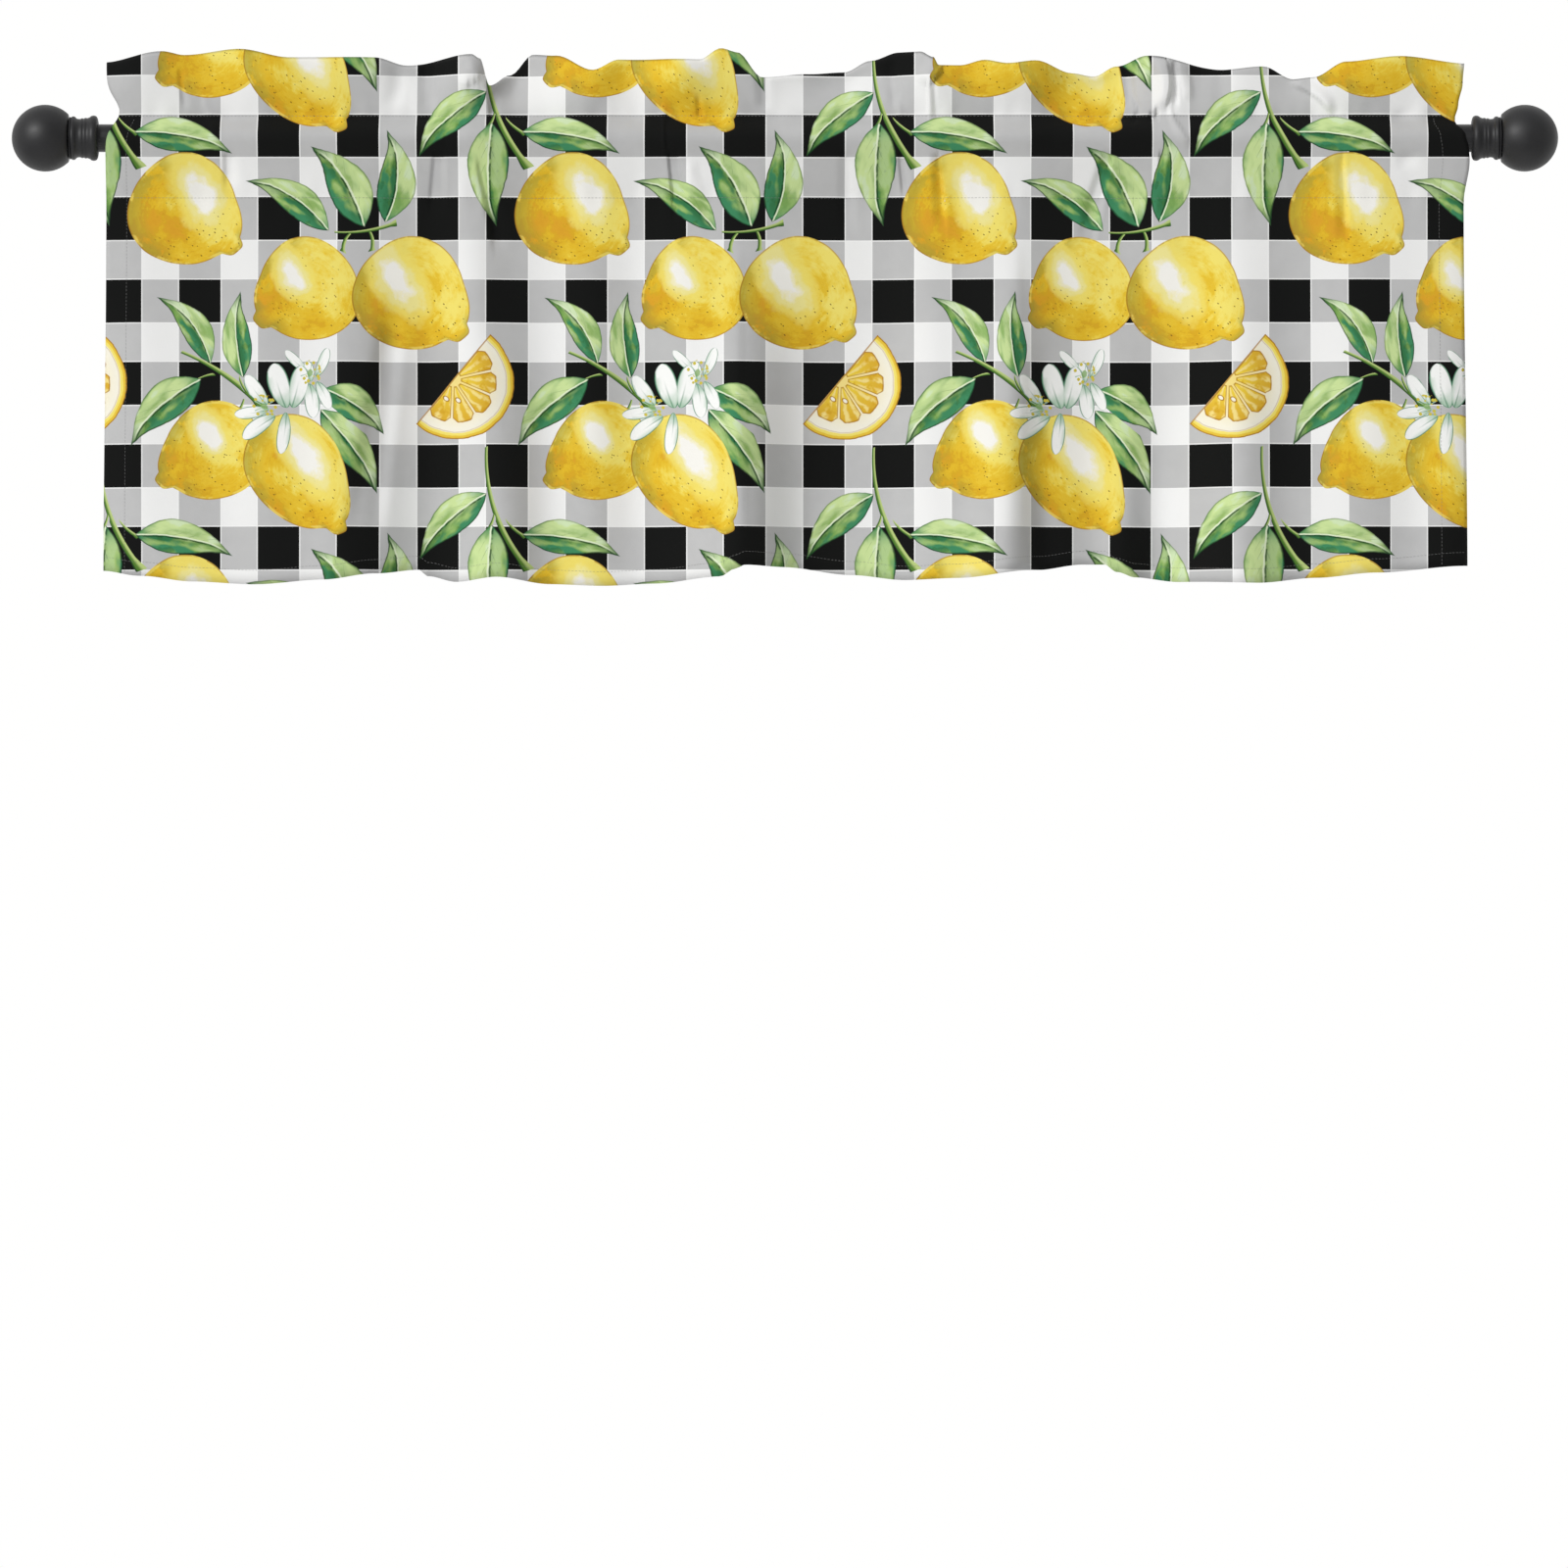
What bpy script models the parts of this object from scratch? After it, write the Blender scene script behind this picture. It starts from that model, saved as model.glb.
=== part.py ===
"""Rod-pocket window valance, gathered on a round rod with two ball finials.

Metres, +Z up. The rod's axis is X and its middle is the origin. The cloth's face looks along -Y.
The cloth is one panel: its top is turned to the back and sewn down in two lines, which leaves a
stand-up header above a rod pocket, and the skirt hangs below them.
"""

import math

import bmesh
import bpy

# The cloth, as it is sewn flat
FLAT_WIDTH = 1.270
HEADER = 0.051
POCKET = 0.076
SKIRT = 0.330
SHEET = 0.0012

# The cloth, as it hangs
HUNG_WIDTH = 1.172
UPPER_SEAM_Z = 0.019
PINCH = 0.0115
PINCH_WIDTH = 0.030
PINCH_HEIGHT = 0.016
PINCH_MIDDLE_Z = 0.023
HEM_FLARE = 0.003
COLUMN_STEP = 0.0125
NARROWEST_COLUMN = 0.0035
HEADER_ROWS = 2
SKIRT_ROWS = 4

# The rod and its finials
ROD_DIAMETER = 0.024
ROD_WALL = 0.001
ROD_IN_SOCKET = 0.016
COLLAR_INNER_X = 0.593
COLLAR_LENGTH = 0.0253
BALL_DIAMETER = 0.0576
BALL_CENTRE_X = 0.6386
STUD_RADIUS = 0.005
STUD_LENGTH = 0.006
GAP = 0.0003
SEGMENTS = 32
BALL_RINGS = 13

SHARP_ANGLE = 40
MERGE = 1e-6

ROD_RADIUS = ROD_DIAMETER / 2
# The pocket's flat facets round the rod span up to this angle, so its corners lie further out
POCKET_FACET = 30
POCKET_RADIUS = (ROD_RADIUS + GAP) / math.cos(math.radians(POCKET_FACET / 2))

# Each row is one fold that stands forward: its middle along the rod, its half width, and how far
# it stands out at the header's top edge and at the hem.
FOLDS = [
    # middle, half width, at header, at hem
    (-0.560, 0.034, 0.008, 0.006),
    (-0.514, 0.036, 0.004, 0.007),
    (-0.450, 0.043, 0.009, 0.010),
    (-0.377, 0.046, 0.008, 0.014),
    (-0.271, 0.027, 0.014, 0.002),
    (-0.241, 0.031, -0.003, 0.011),
    (-0.167, 0.033, 0.010, 0.004),
    (-0.094, 0.030, 0.012, 0.003),
    (-0.040, 0.042, 0.010, 0.019),
    (0.015, 0.026, 0.002, -0.001),
    (0.125, 0.030, 0.009, 0.006),
    (0.190, 0.044, 0.012, 0.017),
    (0.219, 0.018, 0.003, -0.005),
    (0.294, 0.018, -0.003, 0.004),
    (0.325, 0.028, 0.008, -0.004),
    (0.388, 0.037, 0.007, 0.017),
    (0.438, 0.040, 0.003, 0.007),
    (0.493, 0.044, 0.010, 0.012),
    (0.539, 0.034, 0.005, 0.005),
    (0.575, 0.028, 0.004, 0.009),
]

# Each row is a point of the header's top edge: its place along the rod, and how far it lies above
# the level that the flat header would reach.
HEADER_EDGE = [
    # along, above the flat top
    (-0.5865, -0.004),
    (-0.537, 0.005),
    (-0.519, 0.002),
    (-0.472, 0.007),
    (-0.428, -0.0005),
    (-0.354, 0.0),
    (-0.327, -0.0065),
    (-0.270, 0.0015),
    (-0.263, -0.002),
    (-0.255, -0.0245),
    (-0.238, -0.0145),
    (-0.218, 0.0035),
    (-0.198, 0.002),
    (-0.166, -0.0115),
    (-0.143, -0.002),
    (-0.074, -0.003),
    (-0.055, 0.007),
    (-0.041, 0.0035),
    (-0.020, -0.0175),
    (0.020, -0.014),
    (0.051, -0.012),
    (0.074, -0.002),
    (0.101, 0.0045),
    (0.122, 0.004),
    (0.131, -0.0075),
    (0.151, -0.0075),
    (0.172, -0.003),
    (0.192, -0.006),
    (0.217, -0.0035),
    (0.248, -0.013),
    (0.267, -0.0155),
    (0.287, -0.0065),
    (0.312, 0.0015),
    (0.378, -0.011),
    (0.413, -0.008),
    (0.439, -0.019),
    (0.456, -0.0175),
    (0.484, -0.0045),
    (0.532, 0.0005),
    (0.5865, -0.005),
]

# Each row is a point of the hem: its place along the rod, and how far it lies above the level that
# the flat skirt would reach.
HEM_EDGE = [
    # along, above the flat hem
    (-0.5865, 0.0075),
    (-0.556, 0.003),
    (-0.511, -0.002),
    (-0.457, -0.0045),
    (-0.398, -0.0005),
    (-0.352, 0.005),
    (-0.316, 0.0085),
    (-0.309, 0.003),
    (-0.284, -0.002),
    (-0.249, 0.002),
    (-0.203, -0.004),
    (-0.158, -0.0055),
    (-0.113, -0.0035),
    (-0.056, 0.002),
    (-0.043, 0.0085),
    (-0.034, 0.012),
    (0.000, 0.0105),
    (0.058, 0.004),
    (0.104, -0.0005),
    (0.149, 0.001),
    (0.217, 0.008),
    (0.258, 0.013),
    (0.276, 0.013),
    (0.287, 0.0065),
    (0.303, 0.002),
    (0.342, -0.002),
    (0.407, -0.0035),
    (0.458, 0.001),
    (0.510, 0.0055),
    (0.5865, 0.0115),
]

# How much of the folds' depth is left at the two seams, and round the rod between them
PUCKER_AT_UPPER_SEAM = 0.25
PUCKER_AT_LOWER_SEAM = 0.35
POCKET_EASE = 0.40
# How soon the folds reach their whole depth away from the seams, 1 being at the cloth's edge
HEADER_OPENS = 1.2
SKIRT_OPENS = 1.6
# The lower seam's folds are this share of the way from the header's to the hem's
SEAM_SHARE = 0.3
# The folds are made up to this much shallower or deeper, until a row has the flat width
GAIN_LIMITS = (0.2, 2.5)
BISECTIONS = 30
# Inside the pocket the two layers part this far from each seam
CREASE = 1.5 * SHEET


def smooth(t):
    """0 below 0, 1 above 1, and an even curve between."""
    t = min(max(t, 0.0), 1.0)
    return t * t * (3 - 2 * t)


def lower_seam():
    """Height of the lower seam, where each layer's way round the rod from the upper seam is the
    pocket's flat height: a straight run, an arc and a straight run."""
    radius = ROD_RADIUS + GAP + SHEET / 2
    above = math.sqrt(UPPER_SEAM_Z**2 - radius**2)
    high, low = radius, radius + POCKET
    for _ in range(BISECTIONS):
        depth = (high + low) / 2
        below = math.sqrt(depth**2 - radius**2)
        arc = math.pi - math.acos(radius / UPPER_SEAM_Z) - math.acos(radius / depth)
        if above + radius * arc + below < POCKET:
            high = depth
        else:
            low = depth
    return -depth


LOWER_SEAM_Z = lower_seam()


def along_edge(rows, level, x):
    """The height of an edge at x, on an even curve between its rows."""
    for (x0, z0), (x1, z1) in zip(rows, rows[1:]):
        if x <= x1:
            return level + z0 + (z1 - z0) * smooth((x - x0) / (x1 - x0))
    return level + rows[-1][1]


def fold_depth(x, share):
    """How far the folds stand forward at x, share 0 at the header's top and 1 at the hem."""
    return sum(
        (at_header + (at_hem - at_header) * share) * math.exp(-(((x - middle) / half_width) ** 2))
        for middle, half_width, at_header, at_hem in FOLDS
    )


def fold_columns():
    """Places along the rod: every row of both edges, and between them no step over COLUMN_STEP."""
    marks = sorted({x for x, _ in HEADER_EDGE} | {x for x, _ in HEM_EDGE})
    kept = [marks[0]]
    for x in marks[1:]:
        if x - kept[-1] < NARROWEST_COLUMN and x < marks[-1]:
            continue
        steps = math.ceil((x - kept[-1]) / COLUMN_STEP)
        start = kept[-1]
        kept += [start + (x - start) * n / steps for n in range(1, steps + 1)]
    return kept


def length_across(depths, places):
    """The cloth's length along one row of points."""
    points = list(zip(places, depths))
    return sum(math.dist(a, b) for a, b in zip(points, points[1:]))


def row_of_folds(places, share, left):
    """Forward depth of each column in one row, with the folds as deep as the flat width needs,
    times the share of them that is left in that row."""
    shape = [fold_depth(x, share) for x in places]
    low, high = GAIN_LIMITS
    for _ in range(BISECTIONS):
        gain = (low + high) / 2
        if length_across([d * gain for d in shape], places) < FLAT_WIDTH:
            low = gain
        else:
            high = gain
    middle = sum(shape) / len(shape)
    return [(d - middle) * gain * left for d in shape]


def round_the_rod(tip_forward, tip_z, z, front):
    """Where the pocket's inside lies at height z, on the straight run from a seam to the round of
    the rod. The seam's tip stands at (tip_forward, tip_z) from the rod's middle."""
    reach = math.hypot(tip_forward, tip_z)
    turn = math.copysign(math.acos(POCKET_RADIUS / reach), tip_z)
    angle = math.atan2(tip_z, tip_forward) + (-turn if front else turn)
    return (POCKET_RADIUS - z * math.sin(angle)) / math.cos(angle)


def pocket_heights():
    """Heights of the pocket's rows between its seams: three at the rod's round, one below it."""
    high = POCKET_RADIUS**2 / UPPER_SEAM_Z
    low = POCKET_RADIUS**2 / LOWER_SEAM_Z
    return [high, (high + low) / 2, low, (low + LOWER_SEAM_Z) / 2]


def place_across(x, z):
    """Where the column at x lies at height z: the cloth's ends draw in at the upper seam."""
    half = HUNG_WIDTH / 2
    near_end = math.exp(-(((half - abs(x)) / PINCH_WIDTH) ** 2))
    drawn = PINCH * math.exp(-(((z - PINCH_MIDDLE_Z) / PINCH_HEIGHT) ** 2))
    flare = HEM_FLARE * smooth((LOWER_SEAM_Z - z) / SKIRT)
    return x + math.copysign(1.0, x) * near_end * (flare - drawn)


def cloth_rows(places):
    """The cloth's rows from the header's top to the hem. Each is (kind, heights, front, back): the
    height of each column, and how far its front and back faces stand forward."""
    top = [along_edge(HEADER_EDGE, UPPER_SEAM_Z + HEADER, x) for x in places]
    hem = [along_edge(HEM_EDGE, LOWER_SEAM_Z - SKIRT, x) for x in places]
    rows = []
    for n in range(HEADER_ROWS + 1):
        up = 1 - n / HEADER_ROWS
        left = PUCKER_AT_UPPER_SEAM + (1 - PUCKER_AT_UPPER_SEAM) * smooth(up * HEADER_OPENS)
        depth = row_of_folds(places, 0.0, left)
        heights = [UPPER_SEAM_Z + (z - UPPER_SEAM_Z) * up for z in top]
        rows.append(("header", heights, [d + SHEET for d in depth], [d - SHEET for d in depth]))
    upper = row_of_folds(places, 0.0, PUCKER_AT_UPPER_SEAM)
    lower = row_of_folds(places, SEAM_SHARE, PUCKER_AT_LOWER_SEAM)
    for z in pocket_heights():
        front, back = [], []
        ease = POCKET_EASE * math.exp(-((z / ROD_RADIUS) ** 2))
        for above, below in zip(upper, lower):
            tip = (above, UPPER_SEAM_Z) if z > 0 else (below, LOWER_SEAM_Z)
            front.append(round_the_rod(*tip, z, True) + ease * max(above + below, 0.0))
            back.append(round_the_rod(*tip, z, False) + ease * min(above + below, 0.0))
        rows.append(("pocket", [z] * len(places), front, back))
    for n in range(SKIRT_ROWS + 1):
        down = n / SKIRT_ROWS
        left = PUCKER_AT_LOWER_SEAM + (1 - PUCKER_AT_LOWER_SEAM) * smooth(down * SKIRT_OPENS)
        depth = row_of_folds(places, SEAM_SHARE + (1 - SEAM_SHARE) * down, left)
        heights = [LOWER_SEAM_Z + (z - LOWER_SEAM_Z) * down for z in hem]
        half = SHEET / 2
        rows.append(("skirt", heights, [d + half for d in depth], [d - half for d in depth]))
    return rows


def ring_of(rows, place, column):
    """One cross-section of the cloth: its outer loop, and the loop of the pocket's inside. Points
    are in the order front top to bottom, then back bottom to top."""
    outer_front, outer_back, inner_front, inner_back = [], [], [], []
    for kind, heights, front, back in rows:
        z = heights[column]
        x = place_across(place, z)
        thick = SHEET if kind == "pocket" else 0.0
        outer_front.append((x, -front[column] - thick, z))
        outer_back.append((x, -back[column] + thick, z))
        if kind == "pocket":
            inner_front.append((x, -front[column], z))
            inner_back.append((x, -back[column], z))
    seam_rows = [rows[HEADER_ROWS], rows[-1 - SKIRT_ROWS]]
    tips = []
    for (_, heights, front, back), inward in zip(seam_rows, (-CREASE, CREASE)):
        z = heights[column] + inward
        middle = (front[column] + back[column]) / 2
        tips.append((place_across(place, z), -middle, z))
    outer = outer_front + outer_back[::-1]
    inner = [tips[0]] + inner_front + [tips[1]] + inner_back[::-1]
    return outer, inner


def end_cap(outer, inner, flip):
    """Faces that close the cloth at one of its ends: one strip of quads down each layer."""
    rows = len(outer) // 2
    front, back = outer[:rows], outer[:rows - 1:-1]
    pocket = (len(inner) - 2) // 2
    first, last = HEADER_ROWS, HEADER_ROWS + pocket + 1
    inner_front = inner[:pocket + 2]
    inner_back = [inner[0]] + inner[:pocket + 1:-1] + [inner[pocket + 1]]
    faces = []
    for n in range(rows - 1):
        if first <= n < last:
            k = n - first
            faces.append((front[n], front[n + 1], inner_front[k + 1], inner_front[k]))
            faces.append((inner_back[k], inner_back[k + 1], back[n + 1], back[n]))
        else:
            faces.append((front[n], front[n + 1], back[n + 1], back[n]))
    faces.append((front[first], inner[0], back[first]))
    faces.append((front[last], back[last], inner[pocket + 1]))
    return [face[::-1] for face in faces] if flip else faces


def make_cloth(material):
    """The valance's one panel, as a closed sheet with an open pocket through it."""
    places = fold_columns()
    rows = cloth_rows(places)
    mesh = bmesh.new()
    outers, inners = [], []
    for column, place in enumerate(places):
        outer, inner = ring_of(rows, place, column)
        outers.append([mesh.verts.new(p) for p in outer])
        inners.append([mesh.verts.new(p) for p in inner])
    for loops, flip in ((outers, False), (inners, True)):
        for one, two in zip(loops, loops[1:]):
            for n, after in zip(range(len(one)), [*range(1, len(one)), 0]):
                face = (one[n], one[after], two[after], two[n])
                mesh.faces.new(face[::-1] if flip else face)
    for column, flip in ((0, True), (-1, False)):
        for face in end_cap(outers[column], inners[column], flip):
            mesh.faces.new(face)
    bmesh.ops.recalc_face_normals(mesh, faces=mesh.faces)
    return finish_object("valance", mesh, material)


def finish_object(name, mesh, material):
    """A named object from a bmesh, with its material and smooth shading."""
    data = bpy.data.meshes.new(name)
    mesh.to_mesh(data)
    mesh.free()
    data.materials.append(material)
    data.shade_smooth()
    data.set_sharp_from_angle(angle=math.radians(SHARP_ANGLE))
    made = bpy.data.objects.new(name, data)
    bpy.context.scene.collection.objects.link(made)
    return made


def turned(name, profile, material, closed):
    """A piece turned about the rod's axis from (x, radius) points. A closed profile leaves a bore."""
    mesh = bmesh.new()
    points = [mesh.verts.new((x, 0.0, radius)) for x, radius in profile]
    ends = points + points[:1] if closed else points
    edges = [mesh.edges.new(pair) for pair in zip(ends, ends[1:])]
    bmesh.ops.spin(
        mesh,
        geom=points + edges,
        axis=(1, 0, 0),
        cent=(0, 0, 0),
        angle=2 * math.pi,
        steps=SEGMENTS,
    )
    bmesh.ops.remove_doubles(mesh, verts=mesh.verts, dist=MERGE)
    bmesh.ops.recalc_face_normals(mesh, faces=mesh.faces)
    return finish_object(name, mesh, material)


def rod_profile():
    """The rod is a plain tube that ends inside both collars."""
    end = COLLAR_INNER_X + ROD_IN_SOCKET
    bore = ROD_RADIUS - ROD_WALL
    return [(-end, bore), (-end, ROD_RADIUS), (end, ROD_RADIUS), (end, bore)]


def collar_profile(side):
    """The collar's outer shape from the rod's side to the ball's side, then its stepped bore."""
    # share of the length, radius: a flared bead, a waist with two fine rings, a lesser bead
    shape = [
        (0.00, 0.0170),
        (0.03, 0.0186),
        (0.10, 0.0195),
        (0.20, 0.0195),
        (0.28, 0.0183),
        (0.40, 0.0172),
        (0.43, 0.0176),
        (0.50, 0.0168),
        (0.53, 0.0171),
        (0.60, 0.0165),
        (0.72, 0.0166),
        (0.78, 0.0181),
        (0.85, 0.0188),
        (0.93, 0.0184),
        (0.98, 0.0170),
        (1.00, 0.0155),
    ]
    outside = [(COLLAR_INNER_X + share * COLLAR_LENGTH, radius) for share, radius in shape]
    socket_end = COLLAR_INNER_X + ROD_IN_SOCKET + GAP
    bore = [
        (COLLAR_INNER_X + COLLAR_LENGTH, STUD_RADIUS + GAP),
        (socket_end, STUD_RADIUS + GAP),
        (socket_end, ROD_RADIUS + GAP),
        (COLLAR_INNER_X, ROD_RADIUS + GAP),
    ]
    return [(side * x, radius) for x, radius in outside + bore]


def ball_profile(side):
    """The ball, flat where it meets the collar, with the stud that fixes it there."""
    radius = BALL_DIAMETER / 2
    flat_x = COLLAR_INNER_X + COLLAR_LENGTH + GAP
    flat_angle = math.acos((BALL_CENTRE_X - flat_x) / radius)
    arc = [
        math.pi - (math.pi - flat_angle) * n / BALL_RINGS
        for n in range(BALL_RINGS + 1)
    ]
    ball = [(BALL_CENTRE_X - radius * math.cos(a), radius * math.sin(a)) for a in arc]
    ball[0] = (BALL_CENTRE_X + radius, 0.0)
    stud_end = flat_x - STUD_LENGTH
    stud = [(flat_x, STUD_RADIUS), (stud_end, STUD_RADIUS), (stud_end, 0.0)]
    return [(side * x, radius) for x, radius in ball + stud]


def principled(name, colour, roughness, metallic):
    material = bpy.data.materials.new(name)
    material.use_nodes = True
    shader = material.node_tree.nodes["Principled BSDF"]
    shader.inputs["Base Color"].default_value = (*colour, 1.0)
    shader.inputs["Roughness"].default_value = roughness
    shader.inputs["Metallic"].default_value = metallic
    return material


def main():
    for old in list(bpy.data.objects):
        bpy.data.objects.remove(old)
    cloth = principled("printed cloth", (0.62, 0.58, 0.40), 0.75, 0.0)
    rod_coat = principled("rod black coat", (0.030, 0.030, 0.032), 0.42, 0.6)
    finial_coat = principled("finial black coat", (0.034, 0.034, 0.036), 0.46, 0.6)
    make_cloth(cloth)
    turned("rod", rod_profile(), rod_coat, closed=True)
    for word, side in (("left", -1), ("right", 1)):
        turned("collar_" + word, collar_profile(side), finial_coat, closed=True)
        turned("ball_" + word, ball_profile(side), finial_coat, closed=False)


main()
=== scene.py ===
"""A rod-pocket window valance, printed with lemons over a buffalo check, on a black rod.

Metres, +Z up. The rod's axis is X, its middle is the origin, and the print faces -Y.
"""

import math

import bpy
import numpy as np
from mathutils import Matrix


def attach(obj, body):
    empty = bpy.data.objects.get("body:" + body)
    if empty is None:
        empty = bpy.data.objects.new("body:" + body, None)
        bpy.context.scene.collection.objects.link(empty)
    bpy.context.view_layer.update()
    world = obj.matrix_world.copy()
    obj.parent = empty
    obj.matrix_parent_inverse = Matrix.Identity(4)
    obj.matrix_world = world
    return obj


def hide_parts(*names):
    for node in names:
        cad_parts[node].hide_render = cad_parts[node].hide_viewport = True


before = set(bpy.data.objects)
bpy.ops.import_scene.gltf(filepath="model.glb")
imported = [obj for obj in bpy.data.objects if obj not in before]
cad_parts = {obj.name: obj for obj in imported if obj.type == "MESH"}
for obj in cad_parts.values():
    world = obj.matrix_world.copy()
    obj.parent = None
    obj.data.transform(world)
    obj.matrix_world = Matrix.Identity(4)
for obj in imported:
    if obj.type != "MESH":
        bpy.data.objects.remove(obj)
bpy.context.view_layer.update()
bpy.ops.object.select_all(action="DESELECT")

# --- The cloth ---
# One panel of light printed polyester. Its top is turned to the back and sewn down in two lines,
# which leaves a stand-up header over the rod pocket, and it hangs slightly gathered.

FLAT_WIDTH = 1.270
HEADER = 0.051
SKIRT = 0.330
TURNED_EDGE = 0.004
CLOTH = 0.0005
HUNG_WIDTH = 1.172
UPPER_SEAM_Z = 0.019
LOWER_SEAM_Z = -0.0508
ROD_RADIUS = 0.012
ROD_GAP = 0.0004

# How far each of the two layers stands off their middle at a seam, and further up in the header
PLY = 0.0006
PUFF = 0.0012

# The height of a seam's puckers, how far the hem flares out at each end, how far the left end
# draws in, at what height and over what reach, and how far into the cloth the ends' lines go
PUCKER = 0.0005
FLARE = 0.003
LEFT_DRAWN_IN = 0.0115
LEFT_DRAWN_Z = 0.023
LEFT_DRAWN_REACH = 0.016
END_REACH = 0.030

# Columns of the mesh, and how steep a crease's edge is where they lie closer together
ACROSS = 560
STEEP_EDGE = 0.004

# Each row is a stretch of the panel, on its way from the hem up the face and down the back
STRETCHES = [
    # name, rows of the mesh
    ("skirt", 34),
    ("pocket face", 18),
    ("header face", 14),
    ("header back", 8),
    ("pocket back", 10),
    ("turned edge", 1),
]
BEHIND = ("header back", "pocket back", "turned edge")

# Each row is one fold that stands forward
FOLDS = [
    # middle, half width, at header, at hem
    (-0.560, 0.034, 0.008, 0.006),
    (-0.514, 0.036, 0.004, 0.007),
    (-0.450, 0.043, 0.009, 0.010),
    (-0.377, 0.046, 0.008, 0.014),
    (-0.271, 0.027, 0.014, 0.002),
    (-0.241, 0.031, -0.003, 0.011),
    (-0.167, 0.033, 0.010, 0.004),
    (-0.094, 0.030, 0.012, 0.003),
    (-0.040, 0.042, 0.010, 0.019),
    (0.015, 0.026, 0.002, -0.001),
    (0.125, 0.030, 0.009, 0.006),
    (0.190, 0.044, 0.012, 0.017),
    (0.219, 0.018, 0.003, -0.005),
    (0.294, 0.018, -0.003, 0.004),
    (0.325, 0.028, 0.008, -0.004),
    (0.388, 0.037, 0.007, 0.017),
    (0.438, 0.040, 0.003, 0.007),
    (0.493, 0.044, 0.010, 0.012),
    (0.539, 0.034, 0.005, 0.005),
    (0.575, 0.028, 0.004, 0.009),
]

# Each row is a point of the header's top edge
HEADER_EDGE = [
    # along, above the flat top
    (-0.5865, -0.004),
    (-0.537, 0.005),
    (-0.519, 0.002),
    (-0.472, 0.007),
    (-0.428, -0.0005),
    (-0.354, 0.0),
    (-0.327, -0.0065),
    (-0.270, 0.0015),
    (-0.263, -0.002),
    (-0.255, -0.0245),
    (-0.238, -0.0145),
    (-0.218, 0.0035),
    (-0.198, 0.002),
    (-0.166, -0.0115),
    (-0.143, -0.002),
    (-0.074, -0.003),
    (-0.055, 0.007),
    (-0.041, 0.0035),
    (-0.020, -0.0175),
    (0.020, -0.014),
    (0.051, -0.012),
    (0.074, -0.002),
    (0.098, 0.0045),
    (0.1165, 0.0045),
    (0.128, -0.0005),
    (0.1325, -0.0075),
    (0.151, -0.0075),
    (0.172, -0.003),
    (0.192, -0.006),
    (0.217, -0.0035),
    (0.248, -0.013),
    (0.267, -0.0155),
    (0.287, -0.0065),
    (0.312, 0.0015),
    (0.378, -0.011),
    (0.413, -0.008),
    (0.439, -0.019),
    (0.456, -0.0175),
    (0.484, -0.0045),
    (0.532, 0.0005),
    (0.5865, -0.005),
]

# Each row is a point of the hem
HEM_EDGE = [
    # along, above the flat hem
    (-0.5865, 0.0075),
    (-0.556, 0.003),
    (-0.511, -0.002),
    (-0.457, -0.0045),
    (-0.398, -0.0005),
    (-0.352, 0.005),
    (-0.316, 0.0085),
    (-0.309, 0.003),
    (-0.284, -0.002),
    (-0.249, 0.002),
    (-0.203, -0.004),
    (-0.158, -0.0055),
    (-0.113, -0.0035),
    (-0.056, 0.002),
    (-0.043, 0.0085),
    (-0.034, 0.012),
    (0.000, 0.0105),
    (0.058, 0.004),
    (0.104, -0.0005),
    (0.149, 0.001),
    (0.217, 0.008),
    (0.258, 0.013),
    (0.276, 0.013),
    (0.287, 0.0065),
    (0.303, 0.002),
    (0.342, -0.002),
    (0.407, -0.0035),
    (0.458, 0.001),
    (0.510, 0.0055),
    (0.5865, 0.0115),
]

# Each row is a point of the right end, which draws in lower down and stands out below that
RIGHT_END = [
    # height, out from the straight end
    (-0.0560, 0.0),
    (-0.0200, 0.0046),
    (-0.0110, 0.0040),
    (0.0030, 0.0004),
    (0.0145, -0.0082),
    (0.0290, -0.0046),
    (0.0480, -0.0005),
    (0.0700, 0.0012),
]

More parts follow.
